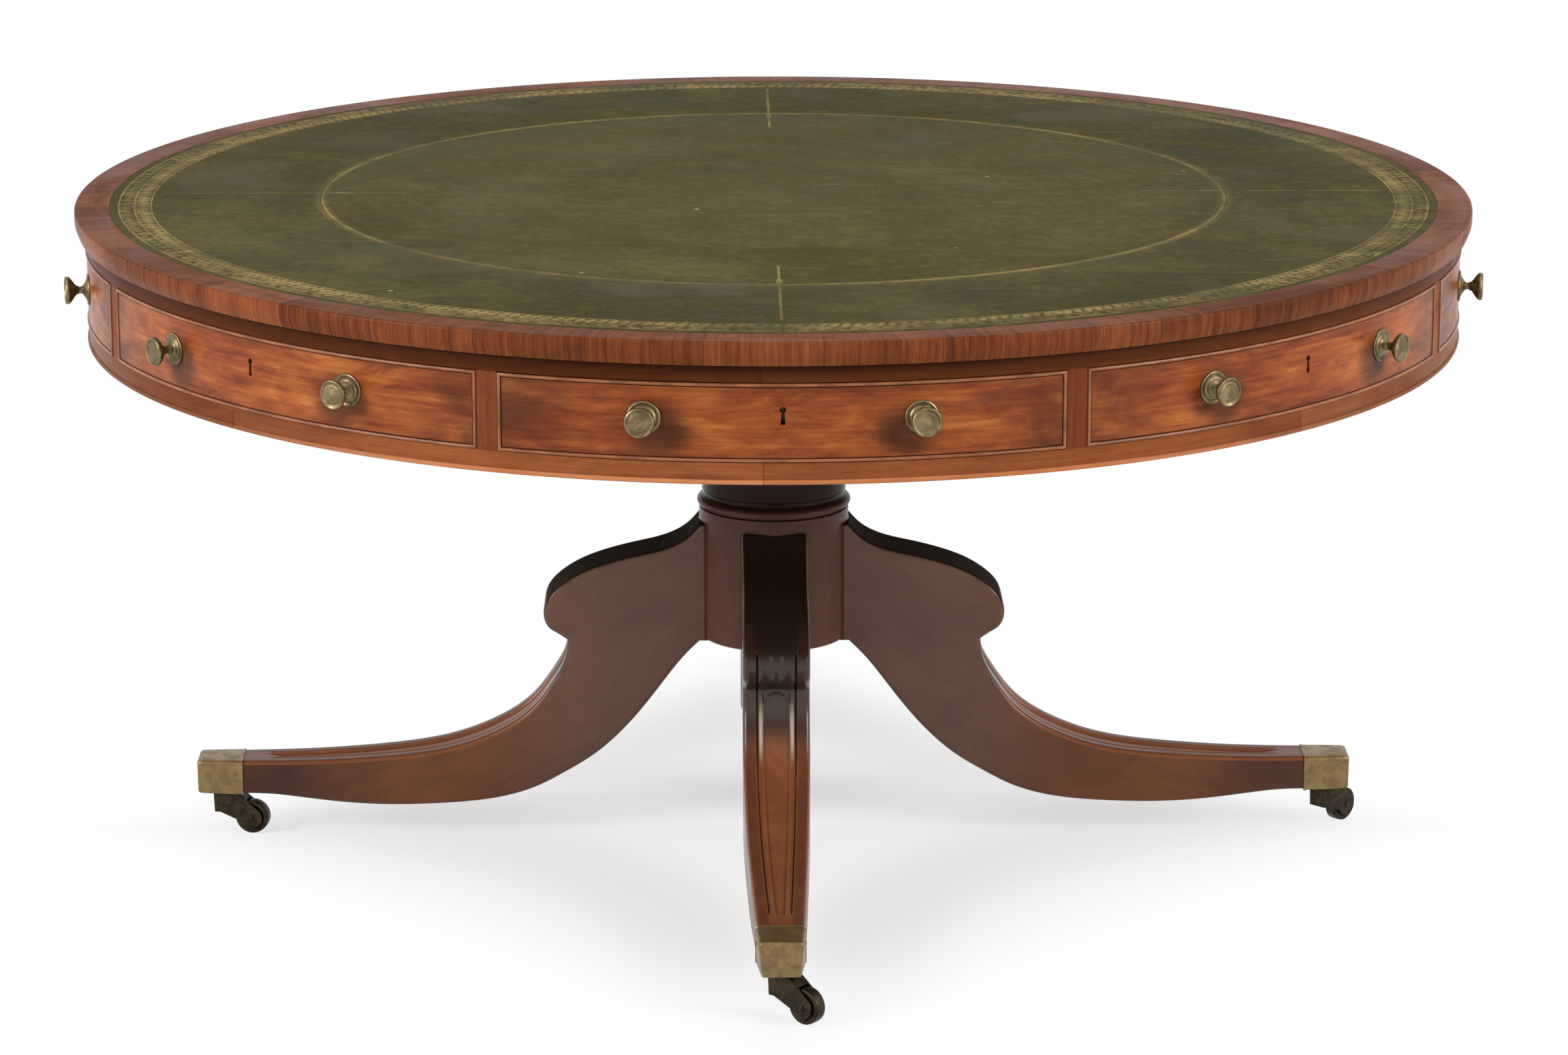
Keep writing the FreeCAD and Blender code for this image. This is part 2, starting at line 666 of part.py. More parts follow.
def make_drawer_box():
    """Two sides, back and bottom of a drawer that faces -Y."""
    disc = cylinder("drawer_disc", "frieze_inner", "drum_bottom", "top_height")
    right, left = "box_half - side_thickness", "- box_half + side_thickness"
    tall = ("side_bottom", "side_top")
    deep = ("- drum_radius", "- drawer_back")
    blanks = [
        board("side_right", (right, "box_half"), deep, tall),
        board("side_left", ("- box_half", left), deep, tall),
        board("bottom", (left, right), deep, ("drawer_floor", "drawer_floor_top")),
    ]
    back = board(
        "back_board",
        (left, right),
        ("- drawer_back - side_thickness", "- drawer_back"),
        ("drawer_floor_top", "side_top - back_drop"),
    )
    trimmed = [combined("Common", f"{blank.Label}_trimmed", blank, disc) for blank in blanks]
    return group_of("drawer_box", trimmed + [back])


def make_lock():
    """Lock case, let into the back of the front."""
    top = "keyhole_level + 2 * keyhole_radius"
    return board(
        "lock_case",
        ("- lock_width / 2", "lock_width / 2"),
        ("- frieze_inner - lock_sunk", "- frieze_inner + lock_proud"),
        (f"{top} - lock_height", top),
    )


def make_drawers():
    knob = make_knob()
    lock = make_lock()
    tools = [lock] + knob_holes("drawer") + keyhole("drawer")
    front, bead = make_front("front", "drawer_gap", tools)
    pair = group_of("knobs", [copy_of(knob, f"knob_{hand}", knob_placement(hand)) for hand in (-1, 1)])
    pieces = {"front": front, "bead": bead, "box": make_drawer_box(), "knobs": pair, "lock": lock}
    for side, turn in SIDES:
        for piece, source in pieces.items():
            sub_part(copy_of(source, f"drawer_{piece}_{side}", turned_by(turn)))

    front, bead = make_front("sham_front", "0", knob_holes("sham") + keyhole("sham"))
    for name, source in (("false_fronts", front), ("false_front_beads", bead), ("false_front_knobs", pair)):
        placed = [copy_of(source, f"{name}_{turn}", turned_by(turn)) for turn in FALSE_TURNS]
        sub_part(group_of(name, placed))


# Pedestal


def dovetail(deep):
    """Plan of a dovetail on the +X side: its neck at the block's face and its back at a depth."""
    return [
        (f"block_radius - {deep}", "- tongue_back / 2"),
        ("block_radius + overrun", "- tongue_neck / 2"),
        ("block_radius + overrun", "tongue_neck / 2"),
        (f"block_radius - {deep}", "tongue_back / 2"),
    ]


def make_block():
    body = sub_part(
        turned(
            "pedestal_block",
            [
                ("0", "block_bottom"),
                ("block_radius - block_corner", "block_bottom"),
                ("block_radius", "block_bottom + block_corner", "block_corner"),
                ("block_radius", "block_top"),
                ("0", "block_top"),
            ],
        )
    )
    plan = sketch_on(body, "XY_Plane", "dovetail_plan")
    outline(plan, dovetail("tongue_length"))
    slot = feature(body, "Pocket", "dovetail_slot", plan, Reversed=True)
    bind(slot, "Length", "tongue_height")
    four_times(body, slot, "dovetail_slots")


def make_column():
    collar_rise = "collar_radius - block_radius"
    hollow_rise = "( block_radius + shaft_radius ) / 2 - hollow_radius"
    hollow_chord = "sqrt( hollow_height ^ 2 + ( block_radius - shaft_radius ) ^ 2 )"
    astragal_rise = "astragal_radius - shaft_top_radius"
    sub_part(
        turned(
            "pedestal_column",
            [
                ("0", "block_top"),
                ("block_radius", "block_top"),
                ("block_radius", "collar_top", arc_radius("collar_height", collar_rise)),
                ("shaft_radius", "hollow_top", "- " + arc_radius(hollow_chord, hollow_rise)),
                ("shaft_top_radius", "astragal_bottom"),
                ("shaft_top_radius", "capital_bottom", arc_radius("astragal_height", astragal_rise)),
                ("capital_radius", "platform_bottom", "- capital_curve"),
                ("spindle_radius", "platform_bottom"),
                ("spindle_radius", "spindle_bottom"),
                ("0", "spindle_bottom"),
            ],
        )
    )
    sub_part(
        turned(
            "bearing_platform",
            [
                ("spindle_radius", "platform_bottom"),
                ("platform_radius - platform_thickness / 2", "platform_bottom"),
                ("platform_radius", "platform_bottom + platform_thickness / 2", "platform_thickness / 2"),
                ("platform_radius", "platform_top"),
                ("spindle_radius", "platform_top"),
            ],
        )
    )
    sub_part(cylinder("pivot_spindle", "spindle_radius", "spindle_bottom", "spindle_top"))


def make_brace():
    """Iron strap under the block: a disc with four arms, each with a screw hole."""
    body = sub_part(doc.addObject("PartDesign::Body", "leg_brace_plate"))
    level = "block_bottom - brace_thickness"
    disc = sketch_on(body, "XY_Plane", "brace_disc", level)
    circle(disc, "0", "0", "brace_hub_radius")
    bind(feature(body, "Pad", "brace_middle", disc), "Length", "brace_thickness")
    plan = sketch_on(body, "XY_Plane", "brace_arm_plan", level)
    half = "brace_arm_width / 2"
    outline(
        plan,
        [
            ("0", f"- {half}"),
            (f"brace_radius - {half}", f"- {half}"),
            ("brace_radius", "0", half),
            (f"brace_radius - {half}", half, half),
            ("0", half),
        ],
    )
    arm = feature(body, "Pad", "brace_arm", plan)
    bind(arm, "Length", "brace_thickness")
    four_times(body, arm, "brace_arms")
    mark = sketch_on(body, "XY_Plane", "brace_hole_mark", level)
    circle(mark, "brace_radius - brace_hole_margin", "0", "brace_hole_radius")
    hole = feature(body, "Pocket", "brace_hole", mark, Reversed=True)
    bind(hole, "Length", "brace_thickness")
    four_times(body, hole, "brace_holes")


# Legs


def side_point(reach, height):
    return FreeCAD.Vector(reach, 0, height)


def along(shares, reach_span, height_span):
    """Points in the leg's side plane from shares of a span of reach and a span of height."""
    start = side_point(reach_span[0], height_span[0])
    span = side_point(reach_span[1], height_span[1]) - start
    return [start + side_point(across * span.x, up * span.z) for across, up in shares]


def smooth(points):
    curve = Part.BSplineCurve()
    curve.interpolate(points)
    return curve


def band_under(curve, depth, start_share, end_share):
    """Side view of a strip of the leg's top, from the curve to a depth below it."""
    first, last = curve.FirstParameter, curve.LastParameter
    upper, lower = [], []
    for step in range(CURVE_STEPS + 1):
        share = start_share + (end_share - start_share) * step / CURVE_STEPS
        place = first + (last - first) * share
        point, run = curve.value(place), curve.tangent(place)[0]
        outward = FreeCAD.Vector(-run.z, 0, run.x)
        upper.append(point + outward * depth)
        lower.append(point - outward * depth)
    edges = [
        smooth(upper).toShape(),
        Part.LineSegment(upper[-1], lower[-1]).toShape(),
        smooth(lower[::-1]).toShape(),
        Part.LineSegment(lower[0], upper[0]).toShape(),
    ]
    return Part.Face(Part.Wire(edges))


def tapered(edge, reach):
    """Where a straight edge in plan, (half width at the block, at the cap), is at a reach."""
    root, toe = amount("block_radius"), amount("shoulder")
    at_root, at_toe = edge
    return at_root + (at_toe - at_root) * (reach - root) / (toe - root)


def plan_strip(inner, outer, low, high):
    """Upright solid between two edges in plan, which run from the block to the end of the toe."""
    start, end = amount("block_radius - tongue_length"), amount("leg_reach")
    corners = []
    for edge, reach in ((inner, start), (inner, end), (outer, end), (outer, start)):
        corners.append(FreeCAD.Vector(reach, tapered(edge, reach), low))
    plan = Part.Face(Part.makePolygon(corners + corners[:1]))
    return plan.extrude(FreeCAD.Vector(0, 0, high - low))


def toe_loft(inset):
    """Tapered block in the cap: the cap's outside where the inset is zero."""
    near, far = amount("shoulder"), amount("leg_reach") - inset
    low, high = amount("cap_bottom") + inset, amount("cap_top") - inset
    root_half = amount("leg_toe_width / 2 + cap_proud") - inset
    upper_half, lower_half = amount("cap_end_width / 2") - inset, amount("cap_sole_width / 2") - inset
    sections = []
    for reach, top, bottom in ((near, root_half, root_half), (far, upper_half, lower_half)):
        corners = [(-bottom, low), (bottom, low), (top, high), (-top, high), (-bottom, low)]
        sections.append(Part.makePolygon([FreeCAD.Vector(reach, y, z) for y, z in corners]))
    return Part.makeLoft(sections, True, True)


def tongue():
    """Dovetail that enters the block from below."""
    low, high = amount("block_bottom"), amount("tongue_height")
    corners = [FreeCAD.Vector(amount(x), amount(y), low) for x, y in dovetail("tongue_length")]
    return Part.Face(Part.makePolygon(corners + corners[:1])).extrude(FreeCAD.Vector(0, 0, high - low))


def leg_shape():
    """Sabre leg on the +X side, with its scrolled knee, moulded top, dovetail and toe tenon."""
    root, nose = amount("block_radius"), amount("knee_reach")
    notch = side_point(amount("notch_reach"), amount("notch_height"))
    shoulder, toe_top, toe_bottom = amount("shoulder"), amount("toe_top"), amount("toe_bottom")
    root_top, root_bottom = amount("root_height"), amount("block_bottom")
    inside = root - amount("tongue_length")

    knee = smooth(along(KNEE_SHARES, (root, nose), (notch.z, root_top)) + [notch])
    instep = smooth(along(INSTEP_SHARES, (notch.x, shoulder), (toe_top, notch.z)))
    sole = smooth(along(SOLE_SHARES, (root, shoulder), (toe_bottom, root_bottom)))
    joint = [
        sole.EndPoint, side_point(inside, root_bottom), side_point(inside, root_top), knee.StartPoint
    ]
    edges = [knee.toShape(), instep.toShape()]
    edges.append(Part.LineSegment(instep.EndPoint, sole.StartPoint).toShape())
    edges.append(sole.toShape())
    edges += [Part.LineSegment(start, end).toShape() for start, end in zip(joint, joint[1:])]
    half_root, half_toe = amount("leg_root_width / 2"), amount("leg_toe_width / 2")
    side = Part.Face(Part.Wire(edges))
    side.translate(FreeCAD.Vector(0, -half_root - amount("overrun"), 0))
    whole_width = FreeCAD.Vector(0, 2 * (half_root + amount("overrun")), 0)
    blank = side.extrude(whole_width)
    plan = plan_strip((-half_root, -half_toe), (half_root, half_toe), 0, amount("top_height"))
    leg = blank.common(plan)

    leg = leg.cut(Part.makeCylinder(root, amount("top_height")))
    leg = leg.fuse([tongue(), toe_loft(amount("cap_wall"))]).removeSplitter()
    leg = leg.cut(moulding(knee, instep, half_root, half_toe))
    leg = leg.cut(pin_bore())
    return leg


def moulding(knee, instep, half_root, half_toe):
    """Reeds round the nose of the knee, grooves and a sunk field on the instep, as one cutting shape."""
    width, high = amount("groove_width"), amount("top_height")
    margin, sunk = amount("groove_margin"), amount("field_margin")
    reed_half = amount("reed_spacing / 2")

    def band(curve, start_margin, end_margin):
        """The whole width of the leg's top, between margins at the start and the end of the curve."""
        length = curve.length()
        face = band_under(curve, amount("moulding_depth"), start_margin / length, 1 - end_margin / length)
        face.translate(FreeCAD.Vector(0, -half_root, 0))
        return face.extrude(FreeCAD.Vector(0, 2 * half_root, 0))

    def groove(sign, from_root, from_toe):
        inner = (sign * from_root, sign * from_toe)
        outer = (sign * (from_root - width), sign * (from_toe - width))
        return plan_strip(inner, outer, 0, high)

    nose = band(knee, knee.length() - amount("reed_length"), 0)
    top = band(instep, 0, amount("groove_end_margin"))
    cuts = []
    for sign in (-1, 1):
        outer_groove = groove(sign, half_root - margin, half_toe - margin)
        cuts += [nose.common(outer_groove), top.common(outer_groove)]
        cuts.append(nose.common(groove(sign, reed_half, reed_half)))
    field = band(instep, amount("field_start_margin"), amount("field_end_margin"))
    cuts.append(field.common(arched_strip((half_root - sunk, half_toe - sunk), field.BoundBox.ZMax)))
    return Part.makeCompound(cuts)


def arched_strip(edge, head):
    """Upright solid along the middle of the leg, its upper end a round arch that reaches up to the head."""
    radius = tapered(edge, amount("notch_reach"))
    spring = head - radius
    strip = plan_strip(tuple(-half for half in edge), edge, 0, spring)
    arch = Part.makeCylinder(radius, amount("leg_reach"), side_point(0, spring), X_AXIS)
    return strip.fuse(arch)


def pin_bore():
    """Room in the toe for the riveted head of the castor pin."""
    radius = amount("pin_head_radius + pin_head_room")
    depth = amount("pin_top + pin_head_room - cap_bottom")
    return Part.makeCylinder(radius, depth, FreeCAD.Vector(amount("stem_reach"), 0, amount("cap_bottom")))


def make_legs():
    leg = doc.addObject("Part::Feature", "leg")
    leg.Shape = leg_shape()
    for side, turn in SIDES:
        sub_part(copy_of(leg, f"leg_{side}", facing(turn)))


# Caps and castors


def make_caps():
    """Brass box cap on the +X side, hollow, open towards the leg, with the hole for the castor pin."""
    body = doc.addObject("PartDesign::Body", "cap")

    def section(name, reach, low, high, lower_half, upper_half):
        sketch = sketch_on(body, "YZ_Plane", name, reach)
        lower_left, upper_left = f"- ( {lower_half} )", f"- ( {upper_half} )"
        outline(sketch, [(lower_left, low), (lower_half, low), (upper_half, high), (upper_left, high)])
        return sketch

    root_half = "leg_toe_width / 2 + cap_proud"
    outside = [
        section("cap_mouth", "shoulder", "cap_bottom", "cap_top", root_half, root_half),
        section("cap_end", "leg_reach", "cap_bottom", "cap_top", "cap_sole_width / 2", "cap_end_width / 2"),
    ]
    shell = feature(body, "AdditiveLoft", "cap_outside", outside[0], Ruled=True)
    shell.Sections = [outside[1]]
    low, high = "cap_bottom + cap_wall", "cap_top - cap_wall"
    half, lower, upper = (
        f"{text} - cap_wall" for text in (root_half, "cap_sole_width / 2", "cap_end_width / 2")
    )
    inside = [
        section("cap_hollow_mouth", "shoulder", low, high, half, half),
        section("cap_hollow_end", "leg_reach - cap_wall", low, high, lower, upper),
    ]
    hollow = feature(body, "SubtractiveLoft", "cap_hollow", inside[0], Ruled=True)
    hollow.Sections = [inside[1]]
    mark = sketch_on(body, "XY_Plane", "cap_hole_mark", "cap_bottom")
    circle(mark, "stem_reach", "0", "pin_radius + pin_gap")
    hole = feature(body, "Pocket", "cap_hole", mark, Reversed=True)
    bind(hole, "Length", "cap_wall")
    for side, turn in SIDES:
        sub_part(copy_of(body, f"brass_cap_{side}", facing(turn)))


def make_horn():
    """Castor horn, trailing along +X from its pin at the origin."""
    body = doc.addObject("PartDesign::Body", "horn")
    turns = (CHEEK_LOWER_TURN, CHEEK_UPPER_TURN)
    lower, upper = [
        (
            f"castor_trail + cheek_radius * cos( {turn} * 1 deg )",
            f"wheel_radius + cheek_radius * sin( {turn} * 1 deg )",
        )
        for turn in turns
    ]
    flank = sketch_on(body, "XZ_Plane", "horn_flank")
    outline(
        flank,
        [
            ("- boss_radius", "horn_top - boss_drop"),
            lower,
            upper,
            ("boss_radius + crown_thickness", "horn_top"),
            ("- boss_radius", "horn_top"),
        ],
    )
    bind(feature(body, "Pad", "horn_side", flank, Midplane=True), "Length", "horn_width")
    disc = sketch_on(body, "XZ_Plane", "horn_disc")
    circle(disc, "castor_trail", "wheel_radius", "cheek_radius")
    bind(feature(body, "Pad", "horn_cheeks", disc, Midplane=True), "Length", "horn_width")
    room = sketch_on(body, "XZ_Plane", "horn_wheel_room")
    circle(room, "castor_trail", "wheel_radius", "wheel_radius + wheel_gap")
    slot = feature(body, "Pocket", "horn_slot", room, Midplane=True)
    bind(slot, "Length", "wheel_width + 2 * wheel_side_gap")
    bore = sketch_on(body, "XZ_Plane", "horn_axle_mark")
    circle(bore, "castor_trail", "wheel_radius", "axle_radius")
    bind(feature(body, "Pocket", "horn_axle_bore", bore, Midplane=True), "Length", "horn_width + overrun")
    pin = sketch_on(body, "XZ_Plane", "horn_pin_profile")
    outline(
        pin,
        [
            ("0", "horn_top - cheek_thickness"),
            ("pin_radius", "horn_top - cheek_thickness"),
            ("pin_radius", "pin_end"),
            ("pin_head_radius", "pin_end"),
            ("pin_head_radius", "pin_top"),
            ("0", "pin_top"),
        ],
    )
    feature(body, "Revolution", "horn_pin", pin, ReferenceAxis=(pin, ["V_Axis"]), Angle=360)
    return body


def make_wheel():
    """Castor wheel about Z, centred on z = 0."""
    half = "wheel_width / 2"
    inset = f"{half} - wheel_dish"
    return turned(
        "wheel",
        [
            ("axle_radius + axle_gap", f"- {half}"),
            ("wheel_hub_radius", f"- {half}"),
            ("wheel_hub_radius", f"- ( {inset} )"),
            ("wheel_rim_inner", f"- ( {inset} )"),
            ("wheel_rim_inner", f"- {half}"),
            ("wheel_radius - wheel_corner", f"- {half}"),
            ("wheel_radius", f"- {half} + wheel_corner", "wheel_corner"),
            ("wheel_radius", f"{half} - wheel_corner"),
            ("wheel_radius - wheel_corner", half, "wheel_corner"),
            ("wheel_rim_inner", half),
            ("wheel_rim_inner", inset),
            ("wheel_hub_radius", inset),
            ("wheel_hub_radius", half),
            ("axle_radius + axle_gap", half),
        ],
    )


def make_castors():
    horn, wheel = make_horn(), make_wheel()
    axle = cylinder("axle", "axle_radius", "- horn_width / 2 - axle_head", "horn_width / 2 + axle_head")
    hub = turned_by(90, X_AXIS, FreeCAD.Vector(amount("castor_trail"), 0, amount("wheel_radius")))
    stem = turned_by(0, move=FreeCAD.Vector(amount("stem_reach"), 0, 0))
    for side, turn in SIDES:
        foot = facing(turn) * stem * turned_by(CASTOR_TURNS[side])
        sub_part(copy_of(horn, f"castor_horn_{side}", foot))
        sub_part(copy_of(axle, f"castor_axle_{side}", foot * hub))
        sub_part(copy_of(wheel, f"castor_wheel_{side}", foot * hub))


# Build, test and write


def check_document():
    """Stop where an object failed, or where a sub-part is empty or not valid."""
    for item in doc.Objects:
        if "Invalid" in item.State or "Error" in item.State:
            raise RuntimeError(f"{item.Label} failed: {item.State}")
    for item in nodes:
        if item.Shape.isNull() or not item.Shape.isValid() or not item.Shape.Solids:
            raise RuntimeError(f"{item.Label} has no valid solid")


def write_parts():
    os.makedirs("parts", exist_ok=True)
    for item in nodes:
        item.Shape.exportStep(f"parts/{item.Label}.step")
        volume = sum(solid.Volume for solid in item.Shape.Solids)
        print(f"{item.Label}: {len(item.Shape.Solids)} solids, {volume:.0f} mm3")
    print(f"{len(nodes)} sub-parts")


make_top()
make_frieze()
make_carcase()
make_drawers()
make_block()
make_column()
make_brace()
make_legs()
make_caps()
make_castors()
doc.recompute()
check_document()
write_parts()
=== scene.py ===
"""Looks of a revolving drum table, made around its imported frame.

Metres, in the frame's own axes: +Z is up, the floor is z = 0 and the front of the table faces -Y.
"""

import json
from math import atan2, cos, hypot, pi, radians, sin, sqrt

import bmesh
import bpy
import numpy as np
from mathutils import Matrix, Vector


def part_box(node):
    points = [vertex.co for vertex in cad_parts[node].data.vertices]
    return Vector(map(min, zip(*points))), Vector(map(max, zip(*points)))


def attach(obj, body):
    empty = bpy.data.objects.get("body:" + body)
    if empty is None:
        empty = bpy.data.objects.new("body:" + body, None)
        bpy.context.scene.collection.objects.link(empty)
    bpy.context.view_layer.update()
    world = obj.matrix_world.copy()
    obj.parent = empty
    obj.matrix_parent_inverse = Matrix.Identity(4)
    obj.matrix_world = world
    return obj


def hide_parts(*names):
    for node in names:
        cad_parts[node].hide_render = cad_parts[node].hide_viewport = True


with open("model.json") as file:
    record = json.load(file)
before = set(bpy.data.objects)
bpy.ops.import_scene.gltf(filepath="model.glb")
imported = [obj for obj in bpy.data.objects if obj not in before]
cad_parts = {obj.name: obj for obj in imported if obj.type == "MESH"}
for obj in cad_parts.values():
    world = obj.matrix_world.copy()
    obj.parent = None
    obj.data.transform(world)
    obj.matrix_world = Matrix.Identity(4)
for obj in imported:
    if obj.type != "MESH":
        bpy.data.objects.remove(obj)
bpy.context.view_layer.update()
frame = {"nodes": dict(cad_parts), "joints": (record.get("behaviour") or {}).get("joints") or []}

TURN = 2 * pi
MM = 0.001
MANY = 1000

# Places read from the frame

(_, _, RIM_BOTTOM), (TOP_RADIUS, _, TOP_HEIGHT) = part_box("crossband_rim")
(_, _, LEATHER_BOTTOM), (CENTRE_RADIUS, _, _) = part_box("leather_centre")
(_, _, PANEL_TOP), (DRUM_RADIUS, _, _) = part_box("frieze_top_rail")
(_, _, RAIL_BOTTOM), (_, _, PANEL_BOTTOM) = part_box("frieze_bottom_rail")
DRUM_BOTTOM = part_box("frieze_base_bead")[0].z
(_, _, BLOCK_BOTTOM), (BLOCK_RADIUS, _, BLOCK_TOP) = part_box("pedestal_block")
COLUMN_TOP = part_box("pedestal_column")[1].z
_, (PLATFORM_RADIUS, _, PLATFORM_TOP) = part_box("bearing_platform")
(CAP_START, _, CAP_BOTTOM), (CAP_END, _, CAP_TOP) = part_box("brass_cap_right")

# Sizes of the pieces that are dressed

RIM_WIDTH = 38 * MM
LEATHER_JOINT = 0.3 * MM
FRIEZE_WALL = 22 * MM
STILE_WIDTH = 22 * MM
DRAWER_GAP = 0.5 * MM
SHAM_GAP = 0.3 * MM
BEAD_WIDTH = 3.8 * MM
BEAD_QUIRK = 0.7 * MM
BEAD_PROUD = 1.5 * MM
BEAD_DEPTH = 9 * MM
KNOB_SPREAD = radians(20.6)
KNOB_LEVEL = PANEL_BOTTOM + 43 * MM
KEYHOLE_LEVEL = PANEL_BOTTOM + 53 * MM
KEYHOLE_RADIUS = 3.2 * MM
KEYHOLE_SLOT = 5.0 * MM
KEYHOLE_DROP = 15 * MM
PANEL_HALF = radians(22.5) - STILE_WIDTH / DRUM_RADIUS / 2
LEG_ROOT_HALF = 36.5 * MM
LEG_TOE_HALF = 25.5 * MM
LEG_TAPER_START = 262 * MM
# Margins from the edge of a leg's top to its groove and to the end of the bead beside it.
GROOVE_START, GROOVE_WIDTH, GROOVE_DEPTH = 14 * MM, 2.8 * MM, 2.0 * MM
BEAD_END = 22 * MM

SIDES = {"front": -90, "right": 0, "back": 90, "left": 180}
SHAM_TURNS = (-45, 45, 135, -135)


# Meshes


def polar(radius, angle, height=0.0):
    return Vector((radius * cos(angle), radius * sin(angle), height))


def rotation(angle, axis="Z"):
    return Matrix.Rotation(angle, 4, axis)


def soften(corners, steps=4):
    """Outline with short curves at its corners. A corner is (x, y), or (x, y, size of its curve)."""
    points = []
    for place, corner in enumerate(corners):
        here = Vector(corner[:2])
        if len(corner) == 2:
            points.append(here)
            continue
        following = corners[(place + 1) % len(corners)]
        start = here + (Vector(corners[place - 1][:2]) - here).normalized() * corner[2]
        end = here + (Vector(following[:2]) - here).normalized() * corner[2]
        for step in range(steps + 1):
            share = step / steps
            points.append(start * (1 - share) ** 2 + here * 2 * share * (1 - share) + end * share**2)
    return points


def plain_map(co, centre):
    return co.x + co.z, co.y


def angle_near(co, centre):
    """Angle of a corner about Z, within half a turn of its face's middle."""
    middle = atan2(centre.y, centre.x)
    angle = atan2(co.y, co.x)
    return angle + TURN * round((middle - angle) / TURN)


def around_map(co, centre):
    """Grain that runs round the drum: arc length, then height with the way in."""
    return angle_near(co, centre) * DRUM_RADIUS, co.z + DRUM_RADIUS - hypot(co.x, co.y)


def upright_map(co, centre):
    """Grain that runs up a turned piece."""
    return co.z + hypot(co.x, co.y), angle_near(co, centre) * BLOCK_RADIUS


def piece(name, vertices, faces, uv_rule=plain_map, sharp=38, place=None):
    """Mesh object with clean normals, a map in metres and sharp edges where it turns by more than an angle."""
    if place:
        vertices = [place @ point for point in vertices]
    mesh = bpy.data.meshes.new(name)
    mesh.from_pydata([tuple(point) for point in vertices], [], faces)
    solid = bmesh.new()
    solid.from_mesh(mesh)
    bmesh.ops.remove_doubles(solid, verts=solid.verts, dist=1e-6)
    loose = [edge for edge in solid.edges if not edge.link_faces]
    bmesh.ops.delete(solid, geom=loose, context="EDGES")
    bmesh.ops.recalc_face_normals(solid, faces=solid.faces)
    solid.to_mesh(mesh)
    solid.free()
    item = bpy.data.objects.new(name, mesh)
    bpy.context.scene.collection.objects.link(item)
    finish_mesh(item, uv_rule, sharp)
    return item


def finish_mesh(item, uv_rule=plain_map, sharp=38, flat_from=5):
    """Map in metres and clean normals. A face with many corners is flat."""
    mesh = item.data
    layer = mesh.uv_layers.get("UVMap") or mesh.uv_layers.new(name="UVMap")
    for face in mesh.polygons:
        face.use_smooth = len(face.vertices) < flat_from
        for loop in face.loop_indices:
            corner = mesh.vertices[mesh.loops[loop].vertex_index].co
            layer.data[loop].uv = uv_rule(corner, face.center)
    mesh.set_sharp_from_angle(angle=radians(sharp))


def quads(pairs, width, closed=True):
    """Faces between pairs of rows of width points each. Closed rows go round."""
    faces = []
    for here, there in pairs:
        for place in range(width if closed else width - 1):
            other = (place + 1) % width
            corners = ((here, place), (here, other), (there, other), (there, place))
            faces.append([row * width + column for row, column in corners])
    return faces


def lathe(name, outline, segments, start=0.0, sweep=TURN, place=None, uv_rule=plain_map):
    """Closed outline of radius and height, turned about the Z axis of place."""
    full = sweep >= TURN
    stations = segments if full else segments + 1
    count = len(outline)
    vertices = [
        polar(radius, start + sweep * station / segments, height)
        for station in range(stations)
        for radius, height in outline
    ]
    faces = quads([(station, (station + 1) % stations) for station in range(segments)], count)
    if not full:
        faces.append(tuple(range(count)))
        faces.append(tuple(range((stations - 1) * count, stations * count))[::-1])
    return piece(name, vertices, faces, uv_rule, place=place)


def prism(name, outline, half_width, place=None):
    """Outline in X and Z, carried along Y to both sides of the middle."""
    count = len(outline)
    vertices = [Vector((x, side * half_width, z)) for side in (-1, 1) for x, z in outline]
    faces = [tuple(range(count)), tuple(range(count, 2 * count))[::-1]]
    faces += [(side, (side + 1) % count, count + (side + 1) % count, count + side) for side in range(count)]
    return piece(name, vertices, faces, place=place)


def applied(item):
    """Make the result of the modifiers the object's own mesh."""
    graph = bpy.context.evaluated_depsgraph_get()
    mesh = bpy.data.meshes.new_from_object(item.evaluated_get(graph))
    item.modifiers.clear()
    item.data = mesh
    return item


def cut(item, tool):
    boolean = item.modifiers.new("cut", "BOOLEAN")
    boolean.operation, boolean.solver, boolean.object = "DIFFERENCE", "EXACT", tool
    applied(item)
    bpy.data.objects.remove(tool)


def bevelled(item, width):
    bevel = item.modifiers.new("bevel", "BEVEL")
    bevel.width, bevel.segments = width, 3
    bevel.limit_method, bevel.angle_limit = "ANGLE", radians(35)
    applied(item)


def dress(item, body, slot, material, *nodes):
    """Give a new piece its body, its finish and the frame's nodes that it stands for."""
    item.data.materials.clear()
    item.data.materials.append(material)
    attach(item, body)
    if nodes:
        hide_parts(*nodes)
    return item


def paint(material, *nodes):
    """Give nodes of the frame that stay a material."""
    for node in nodes:
        mesh = frame["nodes"][node].data
        mesh.materials.clear()
        mesh.materials.append(material)


# Materials


def srgb(red, green, blue):
    """Colour as seen, in parts of 255, to the linear colour of the shader."""
    parts = [part / 255 for part in (red, green, blue)]
    linear = [part / 12.92 if part <= 0.04045 else ((part + 0.055) / 1.055) ** 2.4 for part in parts]
    return (*linear, 1.0)


def reckoner(operation, swapped=False):
    """Method of a value that makes a math node from it and what it is reckoned with."""
    return lambda value, *others: value.surface.math(operation, *((*others, value) if swapped else (value, *others)))


